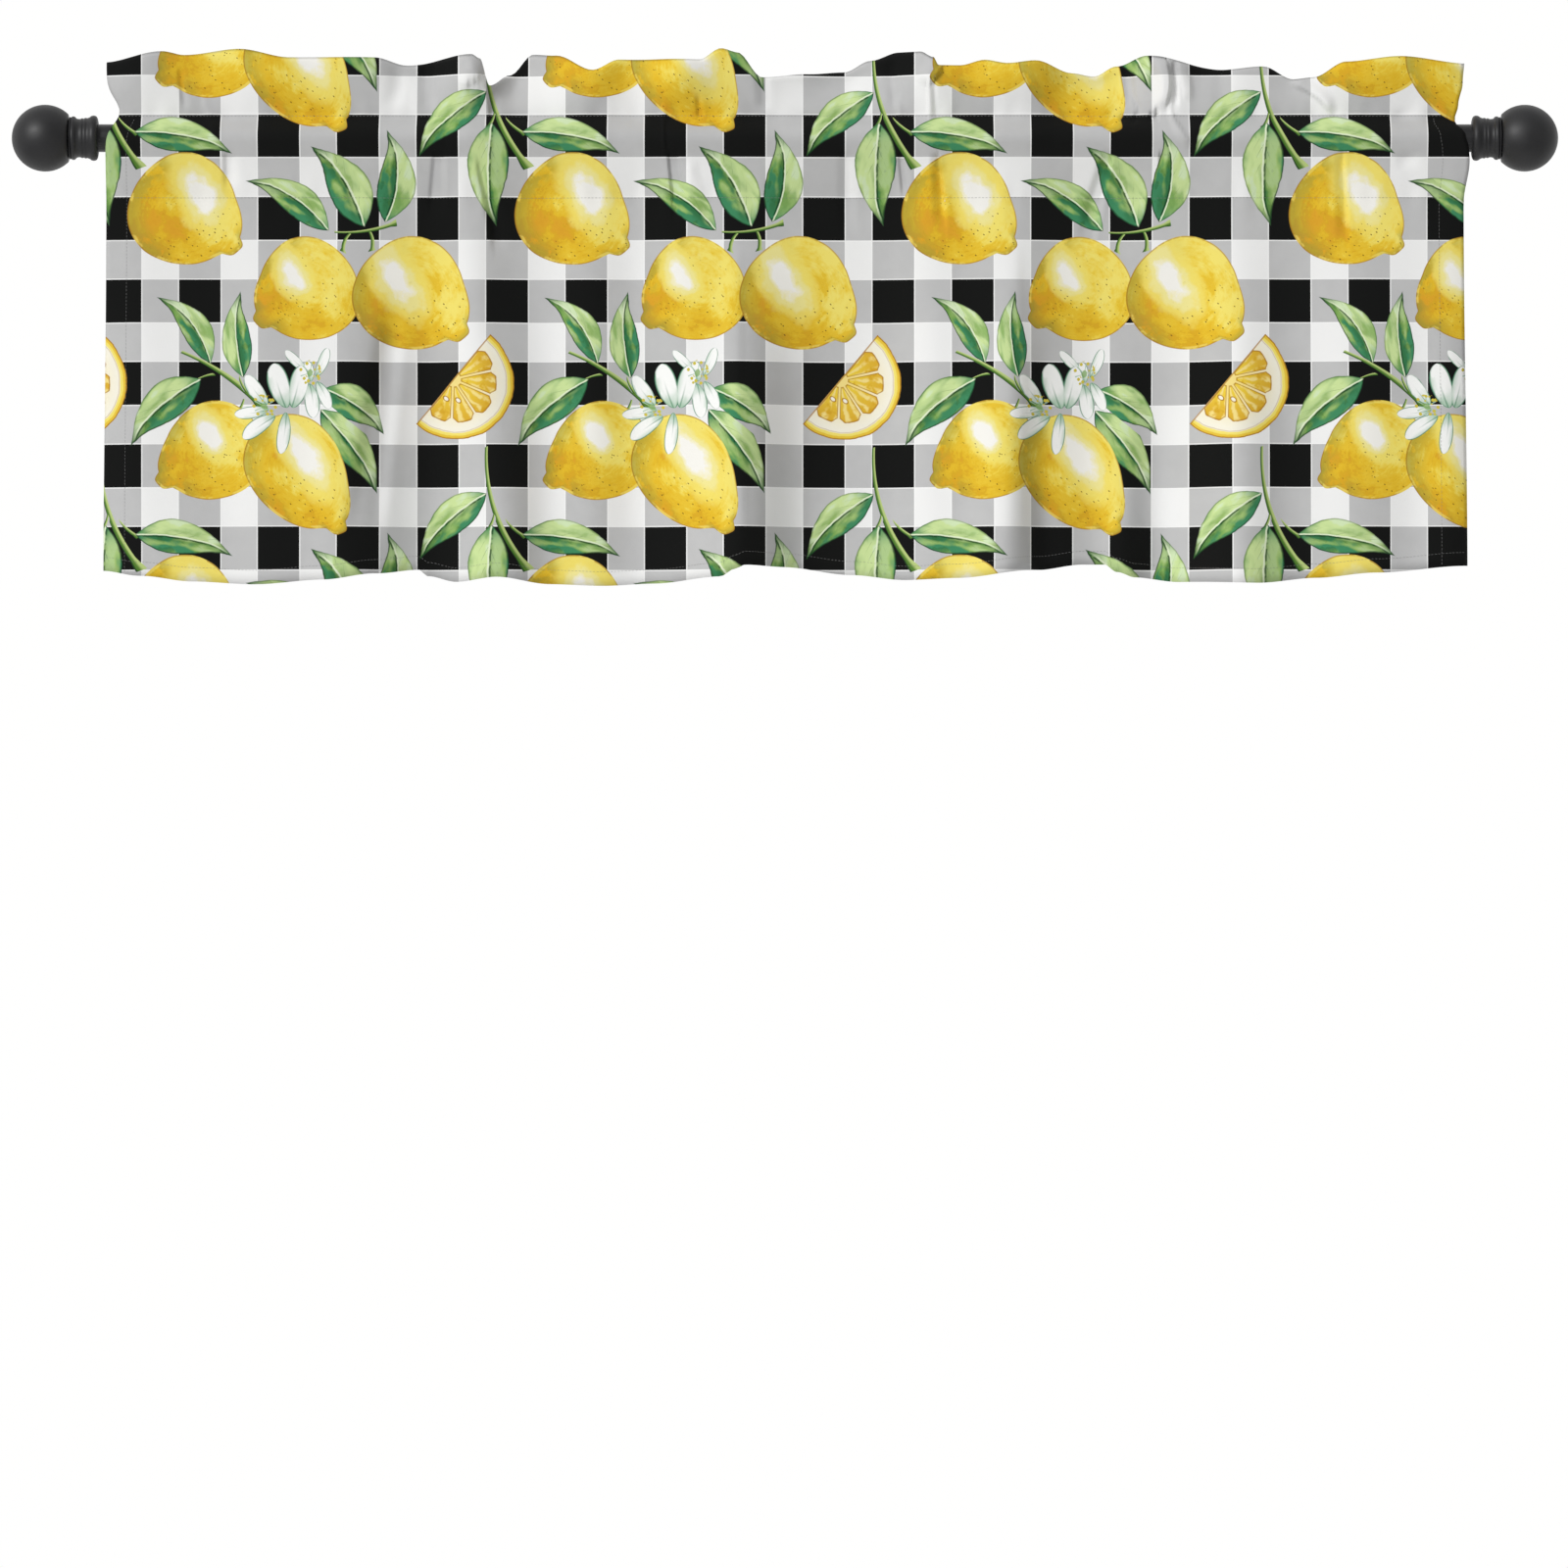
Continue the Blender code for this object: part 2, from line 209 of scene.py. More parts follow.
# Each row is a crease: its upper and lower end, how far it bows to the right, its width at each
# end, how soft its left and right edges are, and how far it stands forward. A steep edge beside a
# gentle one makes a pressed pleat, and two steep edges make a tuck.
CREASES = [
    # upper x, upper z, lower x, lower z, bow, upper width, lower width, left, right, forward
    (-0.5228, 0.0618, -0.5169, 0.0245, 0.0000, 0.004, 0.005, 0.0030, 0.0060, -0.0020),
    (-0.5034, 0.0364, -0.4881, 0.0008, 0.0000, 0.004, 0.008, 0.0030, 0.0080, 0.0018),
    (-0.4814, 0.0161, -0.4780, -0.0465, 0.0000, 0.006, 0.010, 0.0040, 0.0080, -0.0036),
    (-0.3359, 0.0668, -0.3426, 0.0245, 0.0040, 0.010, 0.012, 0.0100, 0.0060, -0.0018),
    (-0.3359, -0.1345, -0.3672, -0.3672, 0.0000, 0.014, 0.030, 0.0140, 0.0140, -0.0050),
    (-0.3079, 0.0702, -0.3088, 0.0195, 0.0000, 0.012, 0.012, 0.0060, 0.0060, -0.0024),
    (-0.2978, 0.0025, -0.3012, -0.0634, 0.0000, 0.008, 0.014, 0.0030, 0.0060, -0.0026),
    (-0.2634, 0.0601, -0.2827, 0.0431, 0.0000, 0.016, 0.006, 0.0140, 0.0015, 0.0030),
    (-0.2656, 0.0711, -0.2563, 0.0431, 0.0000, 0.012, 0.012, 0.0140, 0.0020, 0.0030),
    (-0.2546, 0.0431, -0.2504, 0.0178, 0.0000, 0.004, 0.008, 0.0030, 0.0100, -0.0030),
    (-0.2817, 0.0220, -0.2766, -0.0203, 0.0000, 0.004, 0.008, 0.0020, 0.0080, -0.0016),
    (-0.2648, -0.0144, -0.2436, -0.0973, 0.0000, 0.006, 0.012, 0.0040, 0.0100, -0.0046),
    (-0.1049, 0.0330, -0.1032, -0.0169, 0.0000, 0.003, 0.005, 0.0015, 0.0060, 0.0014),
    (-0.1024, 0.0178, -0.0880, -0.0685, 0.0000, 0.004, 0.016, 0.0020, 0.0030, -0.0036),
    (-0.0753, 0.0372, -0.0728, 0.0144, 0.0000, 0.003, 0.006, 0.0015, 0.0060, -0.0024),
    (-0.0821, -0.0161, -0.0753, -0.0711, 0.0000, 0.006, 0.014, 0.0060, 0.0100, 0.0020),
    (-0.0430, -0.0795, -0.0385, -0.3883, -0.0030, 0.012, 0.018, 0.0160, 0.0040, 0.0016),
    (-0.0195, 0.0702, -0.0178, 0.0195, 0.0000, 0.006, 0.008, 0.0040, 0.0060, -0.0024),
    (0.0516, 0.0245, 0.0550, -0.0838, 0.0000, 0.006, 0.012, 0.0060, 0.0100, -0.0024),
    (0.0905, 0.0702, 0.0956, 0.0245, 0.0000, 0.008, 0.008, 0.0060, 0.0060, -0.0028),
    (0.0964, 0.0381, 0.1007, 0.0144, 0.0000, 0.003, 0.005, 0.0015, 0.0050, 0.0016),
    (0.1041, 0.0195, 0.1142, 0.0076, 0.0000, 0.003, 0.004, 0.0015, 0.0040, -0.0016),
    (0.0990, -0.0042, 0.1057, -0.0533, 0.0000, 0.005, 0.008, 0.0030, 0.0060, -0.0026),
    (0.1311, 0.0668, 0.1151, 0.0482, 0.0030, 0.014, 0.010, 0.0120, 0.0015, 0.0042),
    (0.1244, 0.0516, 0.1261, 0.0135, 0.0000, 0.004, 0.005, 0.0020, 0.0060, 0.0032),
    (0.1290, 0.0060, 0.1368, -0.0800, 0.0000, 0.003, 0.008, 0.0110, 0.0020, -0.0052),
    (0.1965, -0.0700, 0.1975, -0.3883, 0.0020, 0.012, 0.018, 0.0160, 0.0050, 0.0014),
    (0.2817, -0.0042, 0.2580, -0.0922, 0.0000, 0.008, 0.014, 0.0080, 0.0030, -0.0034),
    (0.2953, 0.0702, 0.2995, 0.0279, 0.0000, 0.008, 0.008, 0.0060, 0.0040, -0.0030),
    (0.3215, 0.0702, 0.3223, 0.0228, 0.0055, 0.012, 0.008, 0.0100, 0.0025, 0.0044),
    (0.3359, 0.0702, 0.3376, 0.0245, 0.0000, 0.004, 0.005, 0.0030, 0.0040, -0.0030),
    (0.3426, 0.0702, 0.3494, 0.0305, 0.0000, 0.008, 0.008, 0.0040, 0.0060, 0.0018),
    (0.3003, 0.0347, 0.3079, 0.0237, 0.0000, 0.003, 0.003, 0.0015, 0.0030, -0.0018),
    (0.3079, 0.0237, 0.2851, -0.0059, 0.0000, 0.004, 0.005, 0.0015, 0.0050, -0.0026),
    (0.3240, 0.0228, 0.3122, 0.0152, 0.0000, 0.005, 0.003, 0.0018, 0.0018, -0.0054),
    (0.3240, 0.0178, 0.3257, -0.0262, 0.0000, 0.004, 0.006, 0.0020, 0.0030, -0.0036),
    (0.3308, 0.0262, 0.3511, -0.0093, -0.0020, 0.003, 0.008, 0.0040, 0.0015, 0.0026),
    (0.3765, 0.0685, 0.3773, 0.0195, 0.0000, 0.012, 0.010, 0.0080, 0.0080, -0.0016),
    (0.4365, 0.0499, 0.4755, 0.0195, 0.0050, 0.008, 0.008, 0.0018, 0.0100, 0.0042),
    (0.4790, -0.0020, 0.4835, -0.0940, 0.0000, 0.004, 0.008, 0.0120, 0.0020, -0.0044),
    (0.5304, 0.0279, 0.5381, -0.0296, 0.0000, 0.010, 0.014, 0.0060, 0.0100, -0.0028),
]


def eased(t):
    """0 below 0, 1 above 1, and an even curve between."""
    t = np.clip(t, 0, 1)
    return t * t * (3 - 2 * t)


def edge_at(rows, level, places):
    """How far an edge stands from a level, on an even curve between its rows."""
    marks, stands = np.array(rows).T
    after = np.clip(np.searchsorted(marks, places), 1, len(marks) - 1)
    share = (places - marks[after - 1]) / (marks[after] - marks[after - 1])
    return level + stands[after - 1] + (stands[after] - stands[after - 1]) * eased(share)


def fold_line(along, share, left):
    """Forward depth along one row of the cloth. Share is 0 for the header's folds and 1 for the
    hem's, and left is what a seam leaves of their depth. The folds are made as deep as the flat
    width needs, by halving the range in which their gain lies."""
    shape = sum(
        (top + (hem - top) * share) * np.exp(-(((along - middle) / half) ** 2))
        for middle, half, top, hem in FOLDS
    )
    low, high = 0.2, 2.5
    for _ in range(30):
        gain = (low + high) / 2
        if np.hypot(np.diff(along), np.diff(shape * gain)).sum() < FLAT_WIDTH:
            low = gain
        else:
            high = gain
    return (shape - shape.mean()) * gain * left


def off_rod(tip_forward, tip_z, z, side):
    """The pocket's run from a seam's tip to the round of the rod, on its face or its back."""
    radius = ROD_RADIUS + ROD_GAP + CLOTH
    reach = np.hypot(tip_forward, tip_z)
    turn = np.sign(tip_z) * np.arccos(radius / reach)
    angle = np.arctan2(tip_z, tip_forward) - side * turn
    straight = (radius - z * np.sin(angle)) / np.cos(angle)
    touch = radius * np.sin(angle)
    past = (z - touch) * np.sign(tip_z) < 0
    arc = side * np.sqrt(np.maximum(radius**2 - z**2, 0))
    return np.where(past, arc, straight)


def creases_at(along, z):
    """How far the creases push the cloth forward at each point."""
    forward = np.zeros_like(along)
    for x1, z1, x0, z0, bow, upper, lower, left, right, depth in CREASES:
        run = np.array([x1 - x0, z1 - z0])
        length = np.hypot(*run)
        way = ((along - x0) * run[0] + (z - z0) * run[1]) / length**2
        across = ((along - x0) * run[1] - (z - z0) * run[0]) / length
        across = across - 4 * bow * way * (1 - way)
        half = (lower + (upper - lower) * np.clip(way, 0, 1)) / 2
        band = eased((across + half) / left + 0.5) * eased((half - across) / right + 0.5)
        forward += depth * band * eased(way / 0.25) * eased((1 - way) / 0.2)
    return forward


def gathers_at(along, z):
    """Small uneven puckers that the two lines of stitching draw up."""
    wave = np.sin(along * 212 + 2.1 * np.sin(along * 31)) * (0.6 + 0.4 * np.sin(along * 47 + 1))
    wave += 0.6 * np.sin(along * 341 + 2.6 * np.sin(along * 23 + 2))
    near = sum(
        np.exp(-(((z - seam) / reach) ** 2))
        for seam, reach in ((UPPER_SEAM_Z, 0.012), (LOWER_SEAM_Z, 0.016))
    )
    return PUCKER * wave * near


def drawn_in(along, z):
    """Places along the cloth once its ends are shaped: the left one draws in near the upper seam,
    the right one follows its own line, and both flare out a little towards the hem."""
    near_end = np.exp(-(((HUNG_WIDTH / 2 - abs(along)) / END_REACH) ** 2))
    left_end = -LEFT_DRAWN_IN * np.exp(-(((z - LEFT_DRAWN_Z) / LEFT_DRAWN_REACH) ** 2))
    out = np.where(along < 0, left_end, edge_at(RIGHT_END, 0, z))
    flare = FLARE * eased((LOWER_SEAM_Z - z) / SKIRT)
    return along + np.sign(along) * near_end * (flare + out)


def cloth_row(name, way, along):
    """One row of the panel: its heights, its forward depths, and the header's top over it. Way
    goes from 0 to 1 through the row's stretch."""
    top = edge_at(HEADER_EDGE, UPPER_SEAM_Z + HEADER, along)
    hem = edge_at(HEM_EDGE, LOWER_SEAM_Z - SKIRT, along)
    side = -1 if name in BEHIND else 1
    up = way if side > 0 else 1 - way
    if name in ("skirt", "turned edge"):
        down = 1 - way if name == "skirt" else way * TURNED_EDGE / SKIRT
        left = 0.35 + 0.65 * eased(down * 1.6)
        depth = fold_line(along, 0.3 + 0.7 * down, left)
        z = LOWER_SEAM_Z + (hem - LOWER_SEAM_Z) * down
        depth = depth + (CLOTH / 2 * eased(down * 20) if name == "skirt" else -PLY - CLOTH)
        depth = depth + creases_at(along, z) + gathers_at(along, z)
    elif name in ("header face", "header back"):
        left = 0.25 + 0.75 * eased(up * 1.2)
        z = UPPER_SEAM_Z + (top - UPPER_SEAM_Z) * up
        round_over = math.sqrt(max(0.0, 1 - max(0.0, (up - 0.93) / 0.07) ** 2))
        apart = side * (PLY + PUFF * math.sin(math.pi * min(up, 0.85))) * round_over
        depth = fold_line(along, 0.0, left) + apart + creases_at(along, z) + gathers_at(along, z)
    else:
        z = LOWER_SEAM_Z + (UPPER_SEAM_Z - LOWER_SEAM_Z) * up + 0 * along
        upper = fold_line(along, 0.0, 0.25) + side * PLY
        lower = fold_line(along, 0.3, 0.35) + side * PLY
        above = z > 0
        tip, tip_z = np.where(above, upper, lower), np.where(above, UPPER_SEAM_Z, LOWER_SEAM_Z)
        depth = off_rod(tip, tip_z, z, side)
        ease = 0.4 * np.exp(-((z / ROD_RADIUS) ** 2))
        depth += ease * side * np.maximum(side * (upper + lower), 0)
        extra = creases_at(along, z) + gathers_at(along, z)
        free = eased((abs(z) - ROD_RADIUS) / 0.006)
        depth += free * extra + (1 - free) * side * np.maximum(side * extra, 0)
    return z, depth, top


row_count = sum(steps for _, steps in STRETCHES)
bpy.ops.mesh.primitive_grid_add(x_subdivisions=ACROSS, y_subdivisions=row_count, size=1)
cloth = bpy.context.object
cloth.name = "valance_cloth"
mesh = cloth.data
grid = np.empty(len(mesh.vertices) * 3, np.float32)
mesh.vertices.foreach_get("co", grid)
grid = grid.reshape(-1, 3)
column = np.rint((grid[:, 0] + 0.5) * ACROSS).astype(int)
row = np.rint((grid[:, 1] + 0.5) * row_count).astype(int)

# Where the columns stand: each place asks for its share of them, and steep creases ask for more
places = np.linspace(-HUNG_WIDTH / 2, HUNG_WIDTH / 2, 8001)
asked = np.ones_like(places)
for x1, _, x0, _, _, upper, lower, left, right, _ in CREASES:
    reach = abs(x1 - x0) / 2 + (upper + lower) / 4 + 0.003
    asked += 1.4 * (min(left, right) < STEEP_EDGE) * (abs(places - (x1 + x0) / 2) < reach)
asked = np.concatenate([[0], np.cumsum((asked[1:] + asked[:-1]) / 2)])
along = np.interp(np.linspace(0, asked[-1], ACROSS + 1), asked, places)

# The rows, one stretch after another, and the print's own place for each point, which runs on
# over the header's top and down its back
hung = np.empty((row_count + 1, ACROSS + 1, 3))
printed = np.empty((row_count + 1, ACROSS + 1, 2))
at = 0
for name, steps in STRETCHES:
    for n in range(steps + 1):
        z, depth, top = cloth_row(name, n / steps, along)
        x = drawn_in(along, z)
        hung[at + n] = np.stack([x, -depth, z], 1)
        printed[at + n] = np.stack([x, 2 * top - z if name in BEHIND else z], 1)
    at += steps
mesh.vertices.foreach_set("co", hung[row, column].astype(np.float32).ravel())
corner = np.empty(len(mesh.loops), np.int32)
mesh.loops.foreach_get("vertex_index", corner)
mesh.uv_layers[0].name = "print"
mesh.uv_layers["print"].uv.foreach_set(
    "vector", printed[row[corner], column[corner]].astype(np.float32).ravel()
)
mesh.update()


class Wire:
    """One output of a shader node. Sums, products and comparisons of wires add Math nodes."""

    def __init__(self, tree, socket=None):
        self.tree, self.socket = tree, socket

    def add(self, kind, settings, sockets, output=0):
        """A node of a kind, with its settings made first and its sockets set or linked."""
        node = self.tree.nodes.new("ShaderNode" + kind)
        for name, value in settings.items():
            setattr(node, name, value)
        for name, value in sockets.items():
            if isinstance(value, Wire):
                self.tree.links.new(value.socket, node.inputs[name])
            else:
                node.inputs[name].default_value = value
        return Wire(self.tree, node.outputs[output])

    def math(self, operation, *values):
        return self.add("Math", {"operation": operation}, dict(enumerate((self, *values))))

    def __add__(self, other):
        return self.math("ADD", other)

    __radd__ = __add__

    def __mul__(self, other):
        return self.math("MULTIPLY", other)

    __rmul__ = __mul__

    def __sub__(self, other):
        return self.math("SUBTRACT", other)

    def __rsub__(self, other):
        return self.add("Math", {"operation": "SUBTRACT"}, {0: other, 1: self})

    def __truediv__(self, other):
        return self.math("DIVIDE", other)

    def __lt__(self, other):
        return self.math("LESS_THAN", other)

    def __gt__(self, other):
        return self.math("GREATER_THAN", other)

    def step(self, low, high, to_low=0.0, to_high=1.0):
        """An even change from one value to another while this wire goes from low to high."""
        if low > high:
            low, high, to_low, to_high = high, low, to_high, to_low
        sockets = {"Value": self, "From Min": low, "From Max": high}
        sockets |= {"To Min": to_low, "To Max": to_high}
        return self.add("MapRange", {"interpolation_type": "SMOOTHSTEP"}, sockets)

    def parts(self):
        """The three numbers of a vector."""
        node = self.tree.nodes.new("ShaderNodeSeparateXYZ")
        self.tree.links.new(self.socket, node.inputs[0])
        return [Wire(self.tree, out) for out in node.outputs]

    def vector(self, operation, *values, output=0):
        settings = {"operation": operation}
        return self.add("VectorMath", settings, dict(enumerate((self, *values))), output)

    def turned_by(self, angle):
        """This vector, turned about the third axis."""
        sockets = {"Vector": self, "Angle": angle}
        return self.add("VectorRotate", {"rotation_type": "Z_AXIS"}, sockets)

    def noise(self, scale, detail=2.0, roughness=0.5):
        sockets = {"Vector": self, "Scale": scale, "Detail": detail, "Roughness": roughness}
        return self.add("TexNoise", {}, sockets)

    def between(self, first, second):
        """A mix of two colours, by this wire."""
        return self.add("Mix", {"data_type": "RGBA"}, {0: self, 6: first, 7: second}, 2)

    def paint(self, colour, mask):
        """This colour with another laid over it where the mask is 1."""
        return self.add("Mix", {"data_type": "RGBA"}, {0: mask, 6: self, 7: colour}, 2)

    def pick(self, other, mask):
        """This vector, or the other where the mask is 1."""
        return self.add("Mix", {"data_type": "VECTOR"}, {0: mask, 4: self, 5: other}, 1)


# The print, in metres as it hangs: the check's pitch, and where it starts
CHECK_ALONG = 0.0684
CHECK_DOWN = 0.07115
CHECK_START_X = -0.5221
CHECK_TOP_Z = 0.0195

# The share of a pitch that a dark band takes, and the share by which it starts early
BAND_ALONG, EARLY_ALONG = 0.524, 0.012
BAND_DOWN, EARLY_DOWN = 0.520, 0.010
HAIRLINE_ALONG, HAIRLINE_DOWN = 0.0018, 0.0017

# The motifs' repeat, and where the check loses a little so that it joins with them
REPEAT_X = 0.3342
REPEAT_Z = 0.3469
PRINT_JOINS = (-0.2716, 0.0635)
JOIN_SHORT = 0.0085

WHITE = (0.800, 0.800, 0.792, 1)
GREY = (0.468, 0.468, 0.468, 1)
BLACK = (0.0042, 0.0045, 0.0042, 1)
HAIRLINE = (0.86, 0.86, 0.85, 1)

# Each row is a lemon of the repeat, with the way its tip points
LEMONS_BEHIND = [
    # x, z, half length, half width, turn
    (-0.5181, -0.0632, 0.0502, 0.0508, -39),
    (-0.4122, -0.1318, 0.0458, 0.0480, 216),
    (-0.4940, -0.2712, 0.0474, 0.0440, 213),
]
LEMONS_BEFORE = [
    (-0.3224, -0.1356, 0.0513, 0.0514, -41),
    (-0.4195, -0.2892, 0.0560, 0.0426, -56),
]
LEMON = (0.768, 0.560, 0.052, 1)
PALE_LEMON = (0.815, 0.690, 0.150, 1)
LIGHT_LEMON = (0.800, 0.735, 0.310, 1)
DEEP_LEMON = (0.700, 0.440, 0.020, 1)
RICH_LEMON = (0.560, 0.290, 0.012, 1)
ORANGE = (0.700, 0.340, 0.028, 1)
OLIVE = (0.300, 0.265, 0.040, 1)
GLINT = (0.840, 0.830, 0.800, 1)
PORE = (0.110, 0.055, 0.008, 1)

# Each row is a leaf: its middle, half length, half width, the way its tip points, and its bow
LEAVES = [
    # x, z, half length, half width, turn, bow
    (-0.1838, -0.0030, 0.0436, 0.0126, -10, 0.38),
    (-0.2530, -0.0317, 0.0450, 0.0150, -90, -0.22),
    (-0.2878, 0.0128, 0.0412, 0.0126, 222, -0.42),
    (-0.4288, -0.0572, 0.0424, 0.0118, 147, -0.66),
    (-0.3842, -0.0410, 0.0418, 0.0154, 121, -0.40),
    (-0.3425, -0.0330, 0.0400, 0.0138, 86, -0.60),
    (-0.5180, -0.1650, 0.0374, 0.0106, 127, -0.78),
    (-0.4700, -0.1695, 0.0378, 0.0108, 94, 0.34),
    (-0.5356, -0.2356, 0.0424, 0.0142, 221, -0.38),
    (-0.3708, -0.2350, 0.0326, 0.0128, -34, 0.32),
    (-0.3746, -0.2700, 0.0442, 0.0132, -54, 0.26),
]
LEAF = (0.184, 0.356, 0.082, 1)
FRESH_LEAF = (0.350, 0.510, 0.150, 1)
PALE_LEAF = (0.550, 0.690, 0.310, 1)
MIST_LEAF = (0.600, 0.730, 0.480, 1)
DARK_LEAF = (0.022, 0.108, 0.024, 1)
TEAL_LEAF = (0.048, 0.230, 0.105, 1)
LEAF_LINE = (0.006, 0.036, 0.012, 1)
RIB = (0.700, 0.780, 0.560, 1)

# Each row is a twig, thicker at its far end
TWIGS = [
    # x, z, half length, half width, turn, bow
    (-0.2392, 0.0271, 0.0563, 0.0110, -71, -1.02),
    (-0.2365, 0.0165, 0.0190, 0.0055, -48, -0.60),
    (-0.2535, 0.0175, 0.0095, 0.0055, -108, 0.30),
    (-0.3620, -0.0770, 0.0270, 0.0065, 9, -0.50),
    (-0.3600, -0.0860, 0.0120, 0.0070, -74, 0.50),
    (-0.3760, -0.0890, 0.0110, 0.0070, -118, -0.50),
    (-0.4860, -0.2080, 0.0420, 0.0110, -34, 0.40),
    (-0.4950, -0.2065, 0.0120, 0.0055, 8, 0.40),
    (-0.4655, -0.2130, 0.0120, 0.0060, -60, -0.40),
    (-0.4720, -0.2330, 0.0110, 0.0070, -122, 0.30),
]
TWIG = (0.080, 0.185, 0.026, 1)
TWIG_LIGHT = (0.430, 0.540, 0.190, 1)

# Each row is a petal, in three flowers that overlap
PETALS_BEHIND = [
    # x, z, half length, half width, turn, bow
    (-0.4215, -0.1925, 0.0128, 0.0048, 136, 0.12),
    (-0.3990, -0.1940, 0.0134, 0.0052, 68, -0.12),
    (-0.4105, -0.2015, 0.0090, 0.0052, 102, 0.00),
    (-0.3980, -0.2225, 0.0132, 0.0060, -64, 0.15),
    (-0.4555, -0.2175, 0.0158, 0.0074, 127, 0.15),
    (-0.4600, -0.2365, 0.0150, 0.0060, 188, 0.10),
]
PETALS_BEFORE = [
    (-0.4350, -0.2140, 0.0200, 0.0106, 107, 0.10),
    (-0.4205, -0.2150, 0.0186, 0.0096, 78, -0.12),
    (-0.4085, -0.2270, 0.0150, 0.0074, -82, 0.10),
    (-0.4535, -0.2495, 0.0170, 0.0078, 215, -0.12),
    (-0.4325, -0.2550, 0.0180, 0.0066, -97, 0.08),
]
# Each row is a cluster of stamens
STAMENS = [
    # x, z, reach, reach, turn
    (-0.4095, -0.2030, 0.0115, 0.0105, 80),
    (-0.4490, -0.2320, 0.0120, 0.0105, 150),
]
PETAL = (0.860, 0.865, 0.845, 1)
PETAL_SHADE = (0.360, 0.520, 0.390, 1)
PETAL_LINE = (0.045, 0.200, 0.100, 1)
STAMEN = (0.560, 0.470, 0.060, 1)

# The half slice, its cut side square to the way it points
SLICE = (-0.2866, -0.2080, 0.0542, 0.0504, -40)
WALL_TURN = math.radians(36)
SEEDS = ((0.28, -0.22), (0.11, -0.33))
PITH = (0.830, 0.800, 0.680, 1)
FLESH = (0.640, 0.375, 0.030, 1)
PALE_FLESH = (0.820, 0.660, 0.230, 1)
SLICE_LINE = (0.350, 0.150, 0.012, 1)


# A motif's coordinates carry a number in their third part, made this much smaller so that it
# hardly counts in the vector's length. For the brushwork that part is made much larger again, so
# that no two motifs of a kind are painted alike.
CARRIED = 100
FAR_APART = 700


def placed(cloth_at, x, z, half_length, half_width, turn, carried=0.0):
    """Coordinates on one motif of the repeat: its tip at 1, its side at 1, and its number."""
    high = (x + REPEAT_X / 2, z + REPEAT_Z / 2, 1)
    low = (x - REPEAT_X / 2, z - REPEAT_Z / 2, -1)
    near = cloth_at.vector("WRAP", high, low)
    sockets = {"Vector": near, "Location": (x, z, -carried / CARRIED)}
    sockets |= {"Rotation": (0, 0, math.radians(turn)), "Scale": (half_length, half_width, 1)}
    return near.add("Mapping", {"vector_type": "TEXTURE"}, sockets)


# The share of its bow at which a bowed motif has its middle
BENT = 0.6


def nearest(cloth_at, rows, carried, bent=0.0):
    """Coordinates on whichever motif of a list is nearest, and how near that is."""
    best, best_reach = None, None
    for values, number in zip(rows, carried):
        here = placed(cloth_at, *values[:5], number)
        reach = here.vector("DISTANCE", (0, bent * number, 0), output="Value")
        if best is None:
            best, best_reach = here, reach
            continue
        best = best.pick(here, reach < best_reach)
        best_reach = reach.math("MINIMUM", best_reach)
    return best, best_reach


def bowed(here):
    """Places along and across a bowed motif, measured from its middle line, and its bow."""
    p, q, carried = here.parts()
    bow = carried * CARRIED
    return p, q - bow * (1 - p * p), bow


def washes(here, stretch=(1, 1)):
    """A motif's own coordinates for its brushwork, so that every repeat is painted alike."""
    return here.vector("MULTIPLY", (*stretch, FAR_APART))


def check_colour(cloth_at):
    """A buffalo check: white, grey where one dark band runs, black where two cross."""
    x, z, _ = cloth_at.parts()
    for join in PRINT_JOINS:
        x = x + (x > join) * JOIN_SHORT
    x, z = x - CHECK_START_X, CHECK_TOP_Z - z
    upright = (x / CHECK_ALONG + EARLY_ALONG).math("FRACT") < BAND_ALONG
    level = (z / CHECK_DOWN + EARLY_DOWN).math("FRACT") < BAND_DOWN
    dye = cloth_at.noise(60, 3).step(0.2, 0.8, 0.93, 1.0)
    colour = (upright.math("MAXIMUM", level) * dye).between(WHITE, GREY)
    beside = (x.math("PINGPONG", CHECK_ALONG / 4) < HAIRLINE_ALONG) * (upright < 0.5)
    below = (z.math("PINGPONG", CHECK_DOWN / 4) < HAIRLINE_DOWN) * (level < 0.5)
    colour = colour.paint(HAIRLINE, beside.math("MAXIMUM", below) * 0.8)
    return colour.paint(BLACK, upright * level)


def add_twigs(cloth_at, colour):
    """Twigs: light on one side, with a dark line on the other, and thickest at the cut end."""
    here, _ = nearest(cloth_at, TWIGS, [row[5] for row in TWIGS], BENT)
    p, q, _ = bowed(here)
    thick = p.step(-1, 0.8, 0.14, 0.27) + p.step(0.75, 1.0, 0, 0.20)
    body = (thick - q.math("ABSOLUTE")) * (p.math("ABSOLUTE") < 1)
    twig = (q / thick).step(-0.3, 0.5).between(TWIG, TWIG_LIGHT)
    twig = twig.paint(LEAF_LINE, (q / thick).step(-0.50, -0.80) * 0.85)
    return colour.paint(twig, body.step(0.0, 0.04))


